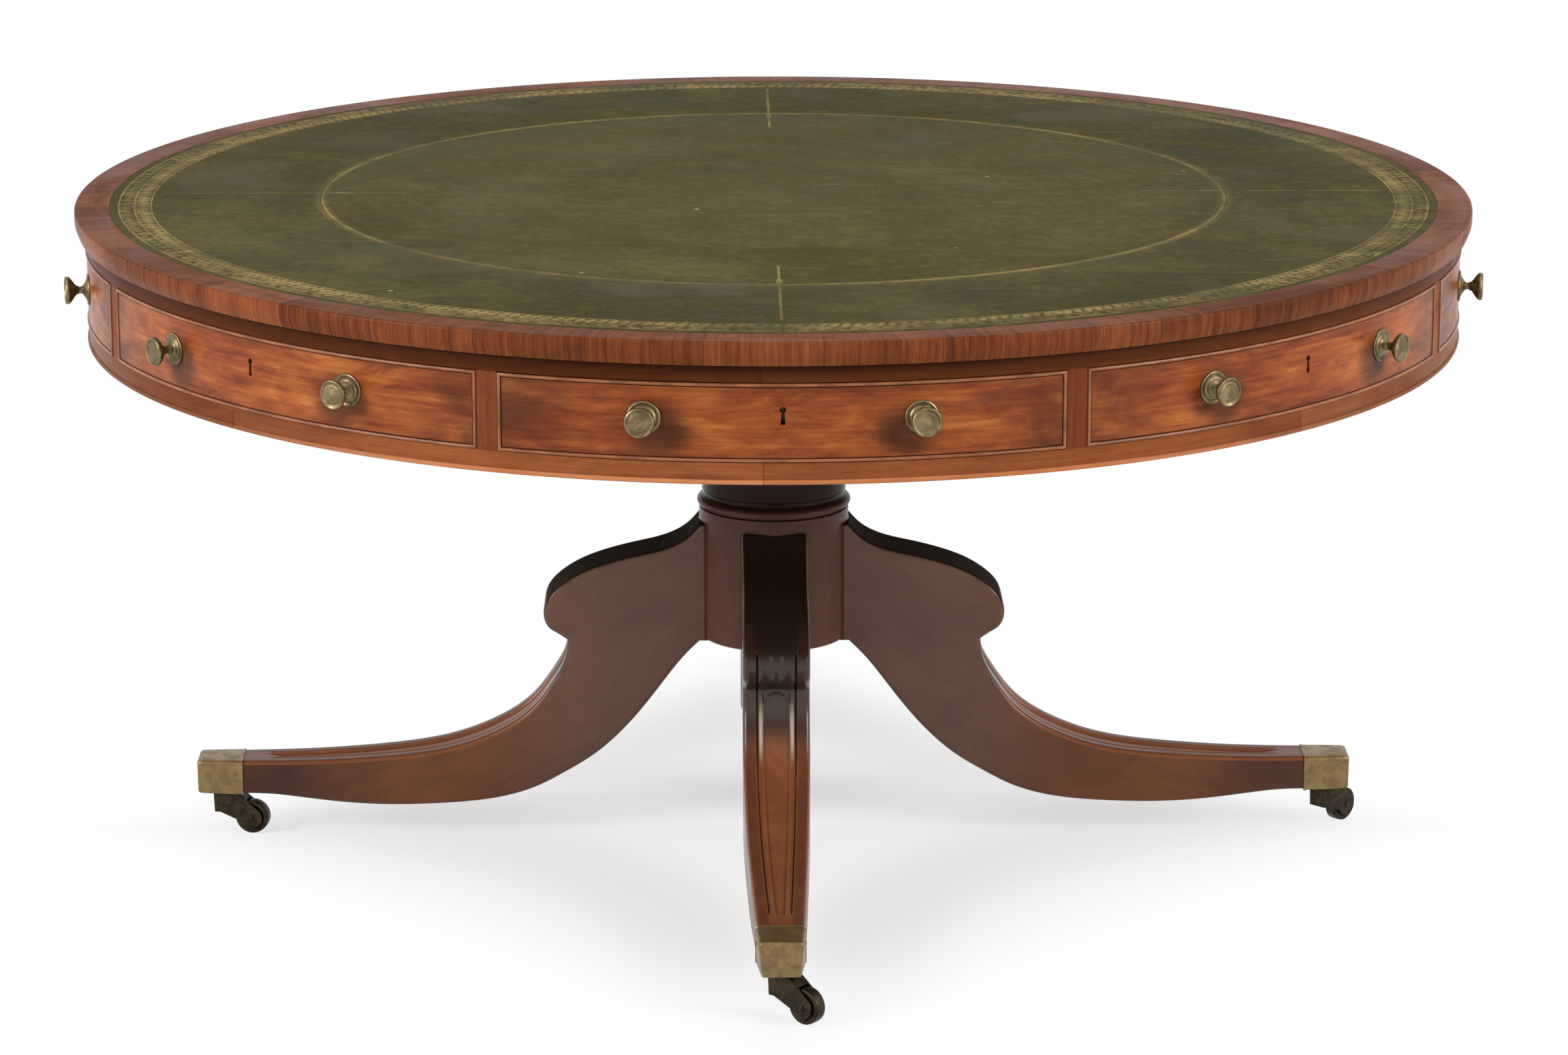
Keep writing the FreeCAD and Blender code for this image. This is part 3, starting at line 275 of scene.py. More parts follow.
class Value:
    """An outlet of a material's node that can be reckoned with."""

    def __init__(self, surface, socket):
        self.surface, self.socket = surface, socket

    __add__ = __radd__ = reckoner("ADD")
    __mul__ = __rmul__ = reckoner("MULTIPLY")
    __sub__, __rsub__ = reckoner("SUBTRACT"), reckoner("SUBTRACT", True)
    __truediv__, __abs__ = reckoner("DIVIDE"), reckoner("ABSOLUTE")

    def clamped(self):
        """The same value, held between 0 and 1."""
        self.socket.node.use_clamp = True
        return self

    def centred(self, gain):
        """A noise value moved to run about zero, times a gain."""
        return (self - 0.5) * gain

    def step(self, low, high, from_share=0.0, to_share=1.0):
        """Smooth step from one share to another while the value goes from low to high."""
        node = self.surface.node("MapRange", self, low, high, from_share, to_share)
        node.interpolation_type = "SMOOTHSTEP"
        return Value(self.surface, node.outputs[0])

    def fall(self, low, high):
        """Smooth step from 1 down to 0."""
        return self.step(low, high, 1.0, 0.0)

    def stained(self, share, *colour):
        """This colour with a share of another one over it."""
        return self.surface.blend(share, self, colour)


class Surface:
    """A node material that is put together value by value. A colour of three numbers is meant as seen."""

    def __init__(self, name):
        self.material = bpy.data.materials.new(name)
        self.material.use_nodes = True
        self.tree = self.material.node_tree
        self.tree.nodes.clear()
        self.output = self.tree.nodes.new("ShaderNodeOutputMaterial")

    def put(self, socket, value):
        if isinstance(value, Value):
            self.tree.links.new(value.socket, socket)
        else:
            is_colour = isinstance(value, tuple) and len(value) == 3
            socket.default_value = srgb(*value) if is_colour else value

    def node(self, kind, *values, **named):
        """New node with values in its first sockets and in its named ones."""
        node = self.tree.nodes.new("ShaderNode" + kind)
        for socket, value in zip(node.inputs, values):
            self.put(socket, value)
        for name, value in named.items():
            self.put(node.inputs[name], value)
        return node

    def math(self, operation, *values):
        node = self.node("Math", *values)
        node.operation = operation
        return Value(self, node.outputs[0])

    def largest(self, most, *values):
        for value in values:
            most = self.math("MAXIMUM", most, value)
        return most

    def length(self, first, second):
        return self.math("SQRT", first * first + second * second)

    def parts(self, kind, outlet):
        """The three parts of a node's vector."""
        split = self.node("SeparateXYZ", Value(self, self.node(kind).outputs[outlet]))
        return [Value(self, socket) for socket in split.outputs]

    def coordinates(self, kind="Object"):
        return self.parts("TexCoord", kind)

    def normal(self):
        """The smooth normal, in the frame's axes."""
        return self.parts("NewGeometry", "Normal")

    def hollows(self, distance):
        """A share of darkening in the corners and grooves that lie within a distance of other surfaces, from ambient
        occlusion.
        """
        node = self.node("AmbientOcclusion", Distance=distance)
        node.samples = 6
        return Value(self, node.outputs["AO"]).step(0.45, 0.92, 0.85, 0.0)

    def texture(self, kind, place, factors, shift=0.0, **settings):
        """A texture at coordinates times their factors. The shift stands in for a missing third one."""
        factors = factors if isinstance(factors, tuple) else (factors,) * 3
        parts = [part * factor for part, factor in zip(place, factors)]
        parts += [shift] * (3 - len(parts))
        vector = Value(self, self.node("CombineXYZ", *parts).outputs[0])
        return Value(self, self.node(kind, Vector=vector, Scale=1.0, **settings).outputs[0])

    def noise(self, place, factors, detail=3.0, roughness=0.5, distortion=0.0, shift=0.0):
        settings = {"Detail": detail, "Roughness": roughness, "Distortion": distortion}
        return self.texture("TexNoise", place, factors, shift, **settings)

    def random_of(self, value):
        """A random number for each whole number."""
        node = self.node("TexWhiteNoise")
        node.noise_dimensions = "1D"
        self.put(node.inputs["W"], value)
        return Value(self, node.outputs[0])

    def blend(self, share, first, second, mode="MIX"):
        node = self.node("Mix", share)
        node.data_type, node.blend_type = "RGBA", mode
        for place, value in ((6, first), (7, second)):
            self.put(node.inputs[place], value)
        return Value(self, node.outputs[2])

    def ramp(self, share, *stops):
        """Colour ramp. A stop is its position and the colour as seen there, or a colour alone where they are
        evenly spaced."""
        node = self.node("ValToRGB", share)
        marks = node.color_ramp.elements
        while len(marks) < len(stops):
            marks.new(0.5)
        for place, stop in enumerate(stops):
            marks[place].position = place / (len(stops) - 1) if len(stop) == 3 else stop[0]
            marks[place].color = srgb(*stop[-3:])
        return Value(self, node.outputs[0])

    def bump(self, height, distance, **normal):
        return Value(self, self.node("Bump", Strength=1.0, Distance=distance, Height=height, **normal).outputs[0])

    def waves(self, depth):
        """Very shallow unevenness of an old polished surface."""
        return self.bump(self.noise(self.coordinates(), 14, 2), depth)

    def grain(self, along, across, streaks, mottle, fibre, seed=0.0):
        """How light the wood is, from 0 to 1, its pores, and its fine relief."""
        ways = (along, across)
        streak = self.noise(ways, (9, 230), 4, 0.62, 0.5, seed)
        fine = self.noise(ways, (70, 1700), 2, shift=seed)
        cloud = self.noise(ways, (11, 30), 3, 0.55, 1.4, seed)
        dash = self.noise(ways, (170, 3000), 1, shift=seed)
        light = (0.5 + streak.centred(streaks) + cloud.centred(mottle) + fine.centred(fibre)).clamped()
        return light, dash.step(0.62, 0.72), fine

    def finished(self, colour, rough, relief=None, gloss=0.5, metal=0.0):
        """Give the material its shader, and return it."""
        settings = {"Base Color": colour, "Roughness": rough, "Specular IOR Level": gloss, "Metallic": metal}
        if relief:
            settings["Normal"] = relief
        shader = self.node("BsdfPrincipled", **settings)
        self.tree.links.new(shader.outputs[0], self.output.inputs[0])
        return self.material


def make_veneer():
    """Figured mahogany of the fronts: flowing figure, smoky clouds, a painted shadow beside each knob, and darker along
    the panel's ends and its edges by the bead.
    """
    surface = Surface("figured_mahogany")
    around, height, _ = surface.coordinates("UV")
    ways = (around, height)
    pitch = TURN / 8 * DRUM_RADIUS
    number = surface.math("ROUND", around / pitch)
    off = abs(around - number * pitch)
    raised = (height - PANEL_BOTTOM) / (PANEL_TOP - PANEL_BOTTOM)
    shift = surface.random_of(number + 21.0) * 30.0
    light, pores, _ = surface.grain(*ways, 0.7, 0.85, 0.2, shift)
    flame = surface.noise(ways, (8, 34), 5, 0.62, 1.5, shift)
    drift = surface.noise(ways, (5, 9), 2, 0.5, 0.6, shift + 3.0)
    smoke = surface.noise(ways, (10, 22), 3, 0.55, 1.0, shift + 7.0)
    light = (light + flame.centred(1.1) + drift.centred(0.7)).clamped()
    colour = surface.ramp(
        light, (0.0, 84, 36, 16), (0.3, 120, 56, 24), (0.52, 143, 73, 32), (0.75, 167, 93, 43), (1.0, 190, 118, 62)
    )
    ends = off.step(0.18, 0.275) * 0.5
    rows = abs(raised - 0.5).step(0.3, 0.5) * 0.35
    # Painted shadow of each knob, a little below it and toward the panel's middle.
    beside = off - (KNOB_SPREAD / 2 * DRUM_RADIUS - 14 * MM)
    below = height - (KNOB_LEVEL - 13 * MM)
    knob_shadow = surface.length(beside, below).fall(0.013, 0.042)
    edge_darkening = (surface.largest(ends, rows) * smoke.step(0.3, 0.62, 0.4, 1.25)).clamped()
    # Painted knob shadows, and the panel darker at its ends and its edges by the bead.
    colour = colour.stained(surface.largest(edge_darkening, knob_shadow * 0.78), 62, 28, 18)
    colour = colour.stained(smoke.step(0.58, 0.76) * 0.42, 92, 54, 40)
    colour = colour.stained(pores * 0.35, 60, 24, 12)
    return surface.finished(colour, smoke.step(0.3, 0.8, 0.26, 0.42), surface.waves(0.5 * MM), 0.16)


def make_banding(name, tones, segment, upright, streaks, shaded=0.0, stained=0.4, shine=(0.03, 0.03), side_shade=0.0):
    """Straight-grained wood in lengths along the frieze, its grain upright or along it. Two shares paint shade into it:
    under the top's edge, and at the left and right of the drum."""
    surface = Surface(name)
    around, height, _ = surface.coordinates("UV")
    lot = surface.random_of(surface.math("FLOOR", around / segment) + 3.0)
    ways = (height, around) if upright else (around, height)
    light, pores, _ = surface.grain(*ways, streaks, 0.4, 0.3, lot * 40.0)
    place = surface.math("FRACT", around / segment)
    edge = surface.math("MINIMUM", place, 1.0 - place)
    cloud = surface.noise((around, height), (5, 18), 3, 0.6, 0.8, 2.0)
    under = height.step(RIM_BOTTOM - 24 * MM, RIM_BOTTOM - 2 * MM, 0.0, shaded)
    colour = surface.ramp((light + lot.centred(0.24)).clamped(), *tones)
    colour = colour.stained(edge.step(0.0, 0.7 * MM / segment, 0.75, 0.0), 46, 22, 12)
    # Painted shade at the left and right of the drum.
    colour = colour.stained(abs(surface.coordinates()[0]).step(0.3, 0.66, 0.0, side_shade), 66, 33, 25)
    # Cloudy stains, and painted shade under the top's edge.
    colour = colour.stained(surface.largest(cloud.step(0.5, 0.75, 0.0, stained), under), 50, 26, 16)
    colour = colour.stained(pores * 0.4, 48, 22, 12)
    gloss = surface.normal()[2].step(0.6, 0.9, *shine)
    return surface.finished(colour, cloud.step(0.3, 0.7, 0.28, 0.44), surface.waves(0.5 * MM), gloss)


def make_bead_wood():
    """Cock-bead: dark at its foot, with a patchy painted highlight on its crown."""
    surface = Surface("cock_bead")
    ways = surface.coordinates("UV")[:2]
    x, y, _ = surface.coordinates()
    crown = surface.length(x, y).step(DRUM_RADIUS + 0.4 * MM, DRUM_RADIUS + 1.3 * MM)
    highlight_patches = surface.noise(ways, (30, 30), 3, 0.6)
    streak = surface.noise(ways, (60, 400), 2)
    colour = surface.blend(streak, (70, 34, 20), (100, 52, 30))
    # Painted highlight on the bead's crown, in patches.
    colour = colour.stained(crown * highlight_patches.step(0.35, 0.6, 0.45, 1.0) * 0.8, 166, 104, 66)
    return surface.finished(colour, 0.34, gloss=0.3)


def make_pedestal_wood():
    """Dark mahogany of the base: greyer by the block, where the grey is partly a painted sheen, brown on the sides of
    the legs and darker towards the toes, redder along the insteps. Painted black and dull on top of the knees for their
    shade and dark reflection, with painted shade under the drum, below the knees' noses and in the grooves, and painted
    highlights on the leg beads and edges."""
    surface = Surface("dark_mahogany")
    run, rise, _ = surface.coordinates("UV")
    light, pores, _ = surface.grain(run, rise, 0.34, 0.4, 0.1, 4.0)
    x, y, z = surface.coordinates()
    nx, ny, nz = surface.normal()
    cloud = surface.noise((x, y, z), 7, 3, 0.55, 0.6)
    light = (light + cloud.centred(0.9)).clamped()
    reach = surface.length(x, y)
    # How much a place faces across its leg, up, or lies on top of the instep, from 0 to 1.
    sideways = abs((ny * x - nx * y) / reach)
    moulded = sideways.fall(0.5, 0.8)
    upward = nz.step(0.02, 0.2)
    past_notch = reach.step(0.228, 0.232)

    # Greyer by the block: the grey is partly a painted sheen.
    by_block = surface.ramp(light, (84, 60, 50), (106, 79, 66), (124, 92, 74))
    on_leg = surface.ramp(light, (76, 44, 28), (102, 62, 39), (130, 82, 50))
    at_toe = surface.ramp(light, (52, 32, 22), (74, 46, 32), (96, 60, 40))
    red = surface.ramp(light, (84, 46, 30), (122, 73, 48), (150, 94, 62))
    colour = surface.blend(reach.step(0.2, 0.36), by_block, on_leg)
    colour = surface.blend(reach.step(0.42, 0.56), colour, at_toe)
    colour = surface.blend(moulded * upward * z.fall(0.16, 0.2), colour, red)
    turned = reach.fall(0.0868, 0.087)
    colour = surface.blend(turned, colour, (0.74, 0.64, 0.64, 1), "MULTIPLY")
    # Painted shade on the column under the drum.
    colour = colour.stained(turned * z.step(0.389, 0.396), 44, 24, 17)
    # Painted shade and dark reflection on the instep below the knee's nose.
    colour = colour.stained(moulded * reach.step(0.2, 0.215) * z.step(0.172, 0.2) * 0.9, 46, 35, 27)
    # Painted black on top of the knees and over their noses, for the shade and dark reflection there.
    knee = sideways.fall(0.4, 0.85) * reach.step(0.0843, 0.0848) * z.step(0.262, 0.286) * z.fall(0.374, 0.38)
    colour = colour.stained(knee, 38, 30, 21)
    colour = colour.stained(pores * 0.35, 34, 18, 12)
    # Painted shade in the grooves and corners of the base, from ambient occlusion.
    colour = colour.stained(surface.hollows(5 * MM), 26, 14, 10)

    taper = (LEG_ROOT_HALF - LEG_TOE_HALF) / (CAP_START - LEG_TAPER_START)
    narrower = surface.largest(reach - LEG_TAPER_START, 0.0) * taper
    bead = LEG_ROOT_HALF - (GROOVE_START + GROOVE_WIDTH + BEAD_END) / 2 - narrower
    off = surface.math("MINIMUM", abs(x), abs(y)) - bead
    outside = off.step(4 * MM, 8 * MM) * sideways.fall(0.85, 0.97) * past_notch * upward * 0.5
    colour = colour.stained(outside, 60, 34, 28)
    low_top = z.fall(0.14, 0.19) * upward
    # Painted highlight along the rounded edges of the leg tops, low down.
    colour = colour.stained(sideways.step(0.3, 0.6) * sideways.fall(0.93, 0.99) * low_top * 0.5, 150, 90, 58)
    # Painted highlights on the crowns of the leg beads below the knee.
    bead_highlight = abs(off).fall(0.6 * MM, 2.2 * MM) * moulded * z.step(0.155, 0.185) * z.fall(0.19, 0.23)
    colour = colour.stained(bead_highlight * past_notch * 0.75, 206, 184, 158)
    gloss = (low_top * moulded).step(0.0, 1.0, 0.2 + moulded * 0.26 - turned * 0.36, 0.1)
    rough = surface.largest(cloud.step(0.3, 0.7, 0.2, 0.32), knee * 0.7)
    return surface.finished(colour, rough, surface.waves(0.6 * MM), knee.step(0.0, 1.0, gloss, 0.01))


# Radii of the gilding on the leather: the wave of leaves and the dots in the border, the band and the three
# rules that hold them, and the circle in the middle.
LEAF_RADIUS, DOT_RADIUS, BAND_RADIUS, RULE_RADII = 0.6945, 0.712, 0.7037, (0.6855, 0.7035, 0.7205)
CIRCLE_RADIUS = 0.4985
LEAVES = 190.0


def make_leather():
    """Tooled green hide, a little browner in the middle, with worn gilding."""
    surface = Surface("tooled_leather")
    place = surface.coordinates()
    x, y, _ = place
    reach = surface.length(x, y)
    large = surface.noise(place, 3, 4, 0.6, 0.8)
    middle = surface.noise(place, (9, 15, 9), 4, 0.55, 0.8)
    small = surface.noise(place, 90, 3, 0.6)
    patch = surface.noise(place, 5, 3, 0.6, 0.5)
    scrape = surface.noise(place, (5, 30, 1), 5, 0.7, 2.4)
    nick, pebble = (surface.texture("TexVoronoi", place, factor) for factor in (9, 900))
    light = (0.5 + large.centred(1.4) + middle.centred(1.3) + small.centred(0.9)).clamped()
    centre = surface.ramp(light, (66, 56, 30), (86, 75, 45), (108, 96, 64))
    outer = surface.ramp(light, (54, 50, 28), (77, 70, 42), (102, 92, 60))
    colour = surface.blend((reach + large.centred(0.25)).step(0.4, 0.56), centre, outer)
    colour = colour.stained(patch.step(0.53, 0.68, 0.0, 0.4), 98, 88, 68)
    colour = colour.stained(scrape.step(0.6, 0.72) * 0.45, 130, 117, 88)
    colour = colour.stained(nick.step(0.02, 0.035, 0.8, 0.0), 176, 168, 138)

    def ring(radius, half, soft):
        """1 on a circle of a radius, falling to 0 beyond half its line's width, in millimetres."""
        return abs(reach - radius).fall(half * MM - soft * MM, half * MM + soft * MM)

    phase = surface.math("ARCTAN2", y, x) * LEAVES
    swing = surface.math("SINE", phase * 2.0) * (2.2 * MM)
    leaf_half = abs(surface.math("SINE", phase)) * (6.5 * MM)
    leaf = (abs(reach - (swing + LEAF_RADIUS)) - leaf_half).fall(-1.5 * MM, 1.0 * MM)
    band = ring(BAND_RADIUS, 17, 0.8) * small.step(0.38, 0.6)
    dots = ring(DOT_RADIUS, 3.4, 1.2) * surface.math("SINE", phase * 1.5).step(-0.4, 0.6)
    rules = [ring(radius, 0.8, 0.5) for radius in RULE_RADII]
    circle = surface.largest(ring(CIRCLE_RADIUS, 1.5, 0.8), ring(CENTRE_RADIUS, 6, 3) * 0.3)
    # The four lines across the border's seams are a little thicker beside the circle.
    nearest = surface.math("MINIMUM", abs(x), abs(y))
    swell = abs(reach - 0.487).step(0.004, 0.02, 2.0 * MM, 0.0)
    lines = (nearest - swell).fall(0.8 * MM, 1.8 * MM) * (reach.step(0.404, 0.408) * reach.fall(0.672, 0.676))
    gilt = surface.largest(leaf * 0.9, band * 0.42, *rules, dots * 0.6, circle * 0.85, lines * 0.75)
    gilt = gilt * middle.step(0.36, 0.6, 0.4, 1.0) * patch.step(0.45, 0.66, 1.0, 0.45)
    colour = surface.blend(gilt, colour, surface.blend(small, (134, 112, 64), (194, 168, 110)))
    relief = surface.bump(pebble * 0.35 - gilt, 0.1 * MM, Normal=surface.bump(large, 0.5 * MM))
    return surface.finished(colour, middle.step(0.3, 0.7, 0.55, 0.7), relief, 0.02, gilt * 0.3)


def make_brass(name, bright, dull, dark, rough, metal=0.92):
    """Old brass: high places worn bright, brown film elsewhere."""
    surface = Surface(name)
    place = surface.coordinates()
    film = surface.noise(place, 70, 4, 0.6, 0.6)
    speck = surface.noise(place, 420, 3, 0.6)
    dirt = surface.largest(surface.hollows(4 * MM), speck.step(0.6, 0.72) * 0.45)
    colour = surface.blend(film.step(0.36, 0.62), bright, dull).stained(dirt, *dark)
    return surface.finished(colour, film.step(0.3, 0.7, *rough), surface.bump(speck, 0.03 * MM), metal=metal)


def make_board(name, tones, rough=0.6):
    """Plain boards inside the drum, with the grain along the way out of the nearest drawer."""
    surface = Surface(name)
    x, y, z = surface.coordinates()
    swap = surface.math("GREATER_THAN", abs(x), abs(y)) * (x - y)
    light, pores, fine = surface.grain(y + swap, x - swap + z * 1.7, 0.7, 0.5, 0.3)
    colour = surface.ramp(light, *tones).stained(pores * 0.5, 70, 46, 28)
    return surface.finished(colour, rough, surface.bump(fine, 0.08 * MM), 0.25)


def make_iron():
    surface = Surface("blackened_iron")
    place = surface.coordinates()
    scale = surface.noise(place, 240, 4, 0.65)
    rust = surface.noise(place, 40, 3, 0.6).step(0.55, 0.75, 0.0, 0.6)
    colour = surface.blend(scale, (34, 30, 28), (66, 58, 52)).stained(rust, 86, 48, 30)
    return surface.finished(colour, 0.55, surface.bump(scale, 0.2 * MM), metal=0.6)


BANDING = ((0.0, 52, 25, 14), (0.35, 96, 48, 26), (0.65, 130, 71, 39), (1.0, 162, 97, 57))
# Darker tones for the top rail, a painted shade under the top's overhang.
DARK_RAIL = ((0.0, 62, 28, 13), (0.4, 88, 43, 21), (0.7, 106, 55, 28), (1.0, 124, 68, 36))
STILE = ((0.0, 84, 40, 24), (0.4, 112, 57, 34), (0.7, 130, 70, 43), (1.0, 148, 87, 55))
LIGHT_RAIL = ((0.0, 106, 54, 29), (0.4, 139, 78, 43), (0.7, 159, 95, 56), (1.0, 181, 118, 74))
BEAD_RAIL = ((0.0, 154, 90, 55), (0.4, 187, 117, 75), (0.7, 208, 140, 96), (1.0, 222, 160, 119))
CARCASE = ((104, 68, 40), (142, 98, 60), (172, 128, 84))
OAK = ((124, 92, 56), (162, 126, 82), (188, 154, 108))
RAIL_LENGTH = 0.604
veneer = make_veneer()
edge_band = make_banding("crossbanding", BANDING, 0.115, True, 0.95, shine=(0.05, 0.015))
# Painted shade: under the top's edge on the top rail, and at the drum's left and right on the bottom rail and base
# bead.
top_rail_wood = make_banding("top_rail_wood", DARK_RAIL, 1.21, False, 0.7, 0.75)
bottom_rail_wood = make_banding("bottom_rail_wood", LIGHT_RAIL, RAIL_LENGTH, False, 0.7, side_shade=0.5)
base_bead_wood = make_banding("base_bead_wood", BEAD_RAIL, RAIL_LENGTH, False, 0.7, 0.0, 0.2, side_shade=0.74)
stile_wood = make_banding("stile_wood", STILE, 0.6, True, 1.0, 0.4, 0.5)
bead_wood = make_bead_wood()
pedestal_wood = make_pedestal_wood()
leather = make_leather()
brass = make_brass("aged_brass", (142, 126, 94), (104, 90, 64), (40, 31, 20), (0.36, 0.54))
cap_brass = make_brass("cap_brass", (140, 118, 78), (119, 98, 65), (62, 48, 32), (0.32, 0.46), 0.72)
castor_brass = make_brass("tarnished_brass", (64, 54, 38), (42, 35, 25), (16, 12, 9), (0.36, 0.55))
carcase_wood = make_board("carcase_wood", CARCASE)
lining_wood = make_board("oak_lining", OAK, 0.5)
iron = make_iron()


# Top


def make_leather_pieces():
    """Disc and four quarters of a ring, with narrow joints between them."""
    edge = 0.25 * MM
    low, high = LEATHER_BOTTOM, TOP_HEIGHT
    disc = soften([(0, low), (CENTRE_RADIUS, low), (CENTRE_RADIUS, high, edge), (0, high)])
    dress(lathe("leather_middle", disc, 240), "drum", "leather", leather, "leather_centre")
    inner = CENTRE_RADIUS + LEATHER_JOINT
    outer = TOP_RADIUS - RIM_WIDTH - LEATHER_JOINT
    ring = soften([(inner, low), (outer, low), (outer, high, edge), (inner, high, edge)])
    gap = LEATHER_JOINT / inner
    for quarter in range(4):
        start = TURN / 4 * quarter + gap / 2
        item = lathe(f"leather_quarter_{quarter + 1}", ring, 60, start, TURN / 4 - gap)
        dress(item, "drum", "leather", leather, "leather_border")


def make_ring(name, outline, slot, wood, node):
    """Ring of the drum, turned in one."""
    dress(lathe(name, outline, 320, uv_rule=around_map), "drum", slot, wood, node)


def make_rim():
    """Crossbanded edge with its softened corners and the draw-in below."""
    inner = TOP_RADIUS - RIM_WIDTH
    face, draw = 14 * MM, 4.5 * MM
    outline = [
        (inner, RIM_BOTTOM), (TOP_RADIUS - draw, RIM_BOTTOM, 0.8 * MM), (TOP_RADIUS, TOP_HEIGHT - face, 4 * MM),
        (TOP_RADIUS, TOP_HEIGHT, 3 * MM), (inner, TOP_HEIGHT),
    ]
    make_ring("rim", soften(outline, 5), "crossband", edge_band, "crossband_rim")


# Frieze


def ring_outline(low, high, corner=0.6 * MM):
    inner = DRUM_RADIUS - FRIEZE_WALL
    return soften([(inner, low), (DRUM_RADIUS, low, corner), (DRUM_RADIUS, high, corner), (inner, high)], 3)


def make_rails():
    """Rails above and below the panels, and the half-round bead at the foot of the drum."""
    make_ring("top_rail", ring_outline(PANEL_TOP, RIM_BOTTOM), "veneer", top_rail_wood, "frieze_top_rail")
    lower = ring_outline(RAIL_BOTTOM, PANEL_BOTTOM)
    make_ring("bottom_rail", lower, "veneer", bottom_rail_wood, "frieze_bottom_rail")
    inner, proud = DRUM_RADIUS - FRIEZE_WALL, 2.0 * MM
    middle, half = (DRUM_BOTTOM + RAIL_BOTTOM) / 2, (RAIL_BOTTOM - DRUM_BOTTOM) / 2
    outline = [(inner, DRUM_BOTTOM)]
    for turn in (pi * (step / 8 - 0.5) for step in range(9)):
        outline.append((DRUM_RADIUS - 0.3 * MM + proud * cos(turn), middle + half * sin(turn)))
    outline.append((inner, RAIL_BOTTOM))
    make_ring("base_bead", outline, "veneer", base_bead_wood, "frieze_base_bead")


def make_stiles():
    half = radians(22.5) - PANEL_HALF
    outline = ring_outline(PANEL_BOTTOM, PANEL_TOP, 0.1 * MM)
    for place in range(8):
        middle = radians(22.5 + 45 * place)
        item = lathe(f"stile_{place + 1}", outline, 4, middle - half, 2 * half, uv_rule=around_map)
        dress(item, "drum", "veneer", stile_wood, "frieze_stiles")


def keyhole_tool(middle):
    """Cutter of the keyhole: a round hole over a slot, from outside the front to its thickness."""
    turns = [radians(-62 + 304 * step / 18) for step in range(19)]
    points = [(KEYHOLE_RADIUS * cos(turn), KEYHOLE_RADIUS * sin(turn)) for turn in turns]
    foot = KEYHOLE_SLOT / 2
    points += [(-foot, -KEYHOLE_DROP), (foot, -KEYHOLE_DROP)]
    depth = (FRIEZE_WALL + 20 * MM) / 2
    centre = polar(DRUM_RADIUS + 5 * MM - depth, middle, KEYHOLE_LEVEL)
    place = Matrix.Translation(centre) @ rotation(middle - pi / 2)
    return prism("keyhole_tool", points, depth, place)


def make_front(name, middle, gap, body, nodes):
    """Curved front with its keyhole and the ground behind its bead, and the mitred cock-bead around it."""
    half = PANEL_HALF - gap / DRUM_RADIUS
    low, high = PANEL_BOTTOM + gap, PANEL_TOP - gap
    inner = DRUM_RADIUS - FRIEZE_WALL
    field = ("field", BEAD_WIDTH + BEAD_QUIRK, DRUM_RADIUS, 60)
    ground = ("ground", 0.0, DRUM_RADIUS - BEAD_DEPTH, 40)
    for part, margin, face, segments in (field, ground):
        foot, head, side = low + margin, high - margin, margin / DRUM_RADIUS
        outline = [(inner, foot), (face, foot), (face, head), (inner, head)]
        start, sweep = middle - half + side, 2 * (half - side)
        item = lathe(f"{name}_{part}", outline, segments, start, sweep, uv_rule=around_map)
        cut(item, keyhole_tool(middle))
        finish_mesh(item, around_map, 30, MANY)
        dress(item, body, "veneer", veneer, nodes[0])
    make_bead(f"{name}_bead", middle, half, low, high, body, nodes[1])


def make_bead(name, middle, half, low, high, body, node):
    """Half-round bead that runs round a front with mitred corners."""
    section = [(0.0, DRUM_RADIUS - BEAD_DEPTH), (BEAD_WIDTH, DRUM_RADIUS - BEAD_DEPTH)]
    for turn in (pi * step / 8 for step in range(9)):
        inset = BEAD_WIDTH / 2 * (1 + cos(turn))
        section.append((inset, DRUM_RADIUS - 0.1 * MM + (BEAD_PROUD + 0.1 * MM) * sin(turn)))
    run, rise = 60, 4
    vertices = []
    for inset, radius in section:
        start, end = middle - half + inset / DRUM_RADIUS, middle + half - inset / DRUM_RADIUS
        bottom, top = low + inset, high - inset
        corners = [(start, bottom), (end, bottom), (end, top), (start, top), (start, bottom)]
        for (angle, height), (last_angle, last_height), steps in zip(corners, corners[1:], (run, rise, run, rise)):
            way, climb = last_angle - angle, last_height - height
            vertices += [
                polar(radius, angle + way * step / steps, height + climb * step / steps) for step in range(steps)
            ]
    faces = quads([(row, (row + 1) % len(section)) for row in range(len(section))], 2 * (run + rise))
    dress(piece(name, vertices, faces, around_map, 50), body, "bead", bead_wood, node)


# Brassware

# Turned outline of a knob, in millimetres: radius, then height over the frieze.
KNOB_OUTLINE = [
    (0, 0), (17, 0), (17, 0.9), (16.6, 1.5), (15.6, 1.9), (14.6, 1.7), (14.0, 1.3), (12.6, 1.3), (12.0, 1.8),
    (11.4, 2.7), (10.4, 3.2), (9.4, 3.1), (8.8, 3.5), (8.0, 4.6), (6.4, 5.4), (4.8, 6.6), (3.9, 8.2), (3.6, 10.0),
    (3.9, 11.2), (4.8, 11.8), (5.0, 12.4), (4.7, 12.9), (5.4, 14.0), (7.6, 15.8), (10.6, 17.8), (13.2, 19.9),
    (14.6, 21.4), (15.0, 22.4), (15.0, 23.6), (14.8, 24.8), (14.2, 25.6), (13.4, 25.9), (12.6, 25.6),
    (12.2, 24.9), (11.4, 24.6), (9.4, 24.7), (8.6, 25.1), (8.0, 25.0), (5.0, 25.1), (2.2, 25.5), (0, 25.6),
]


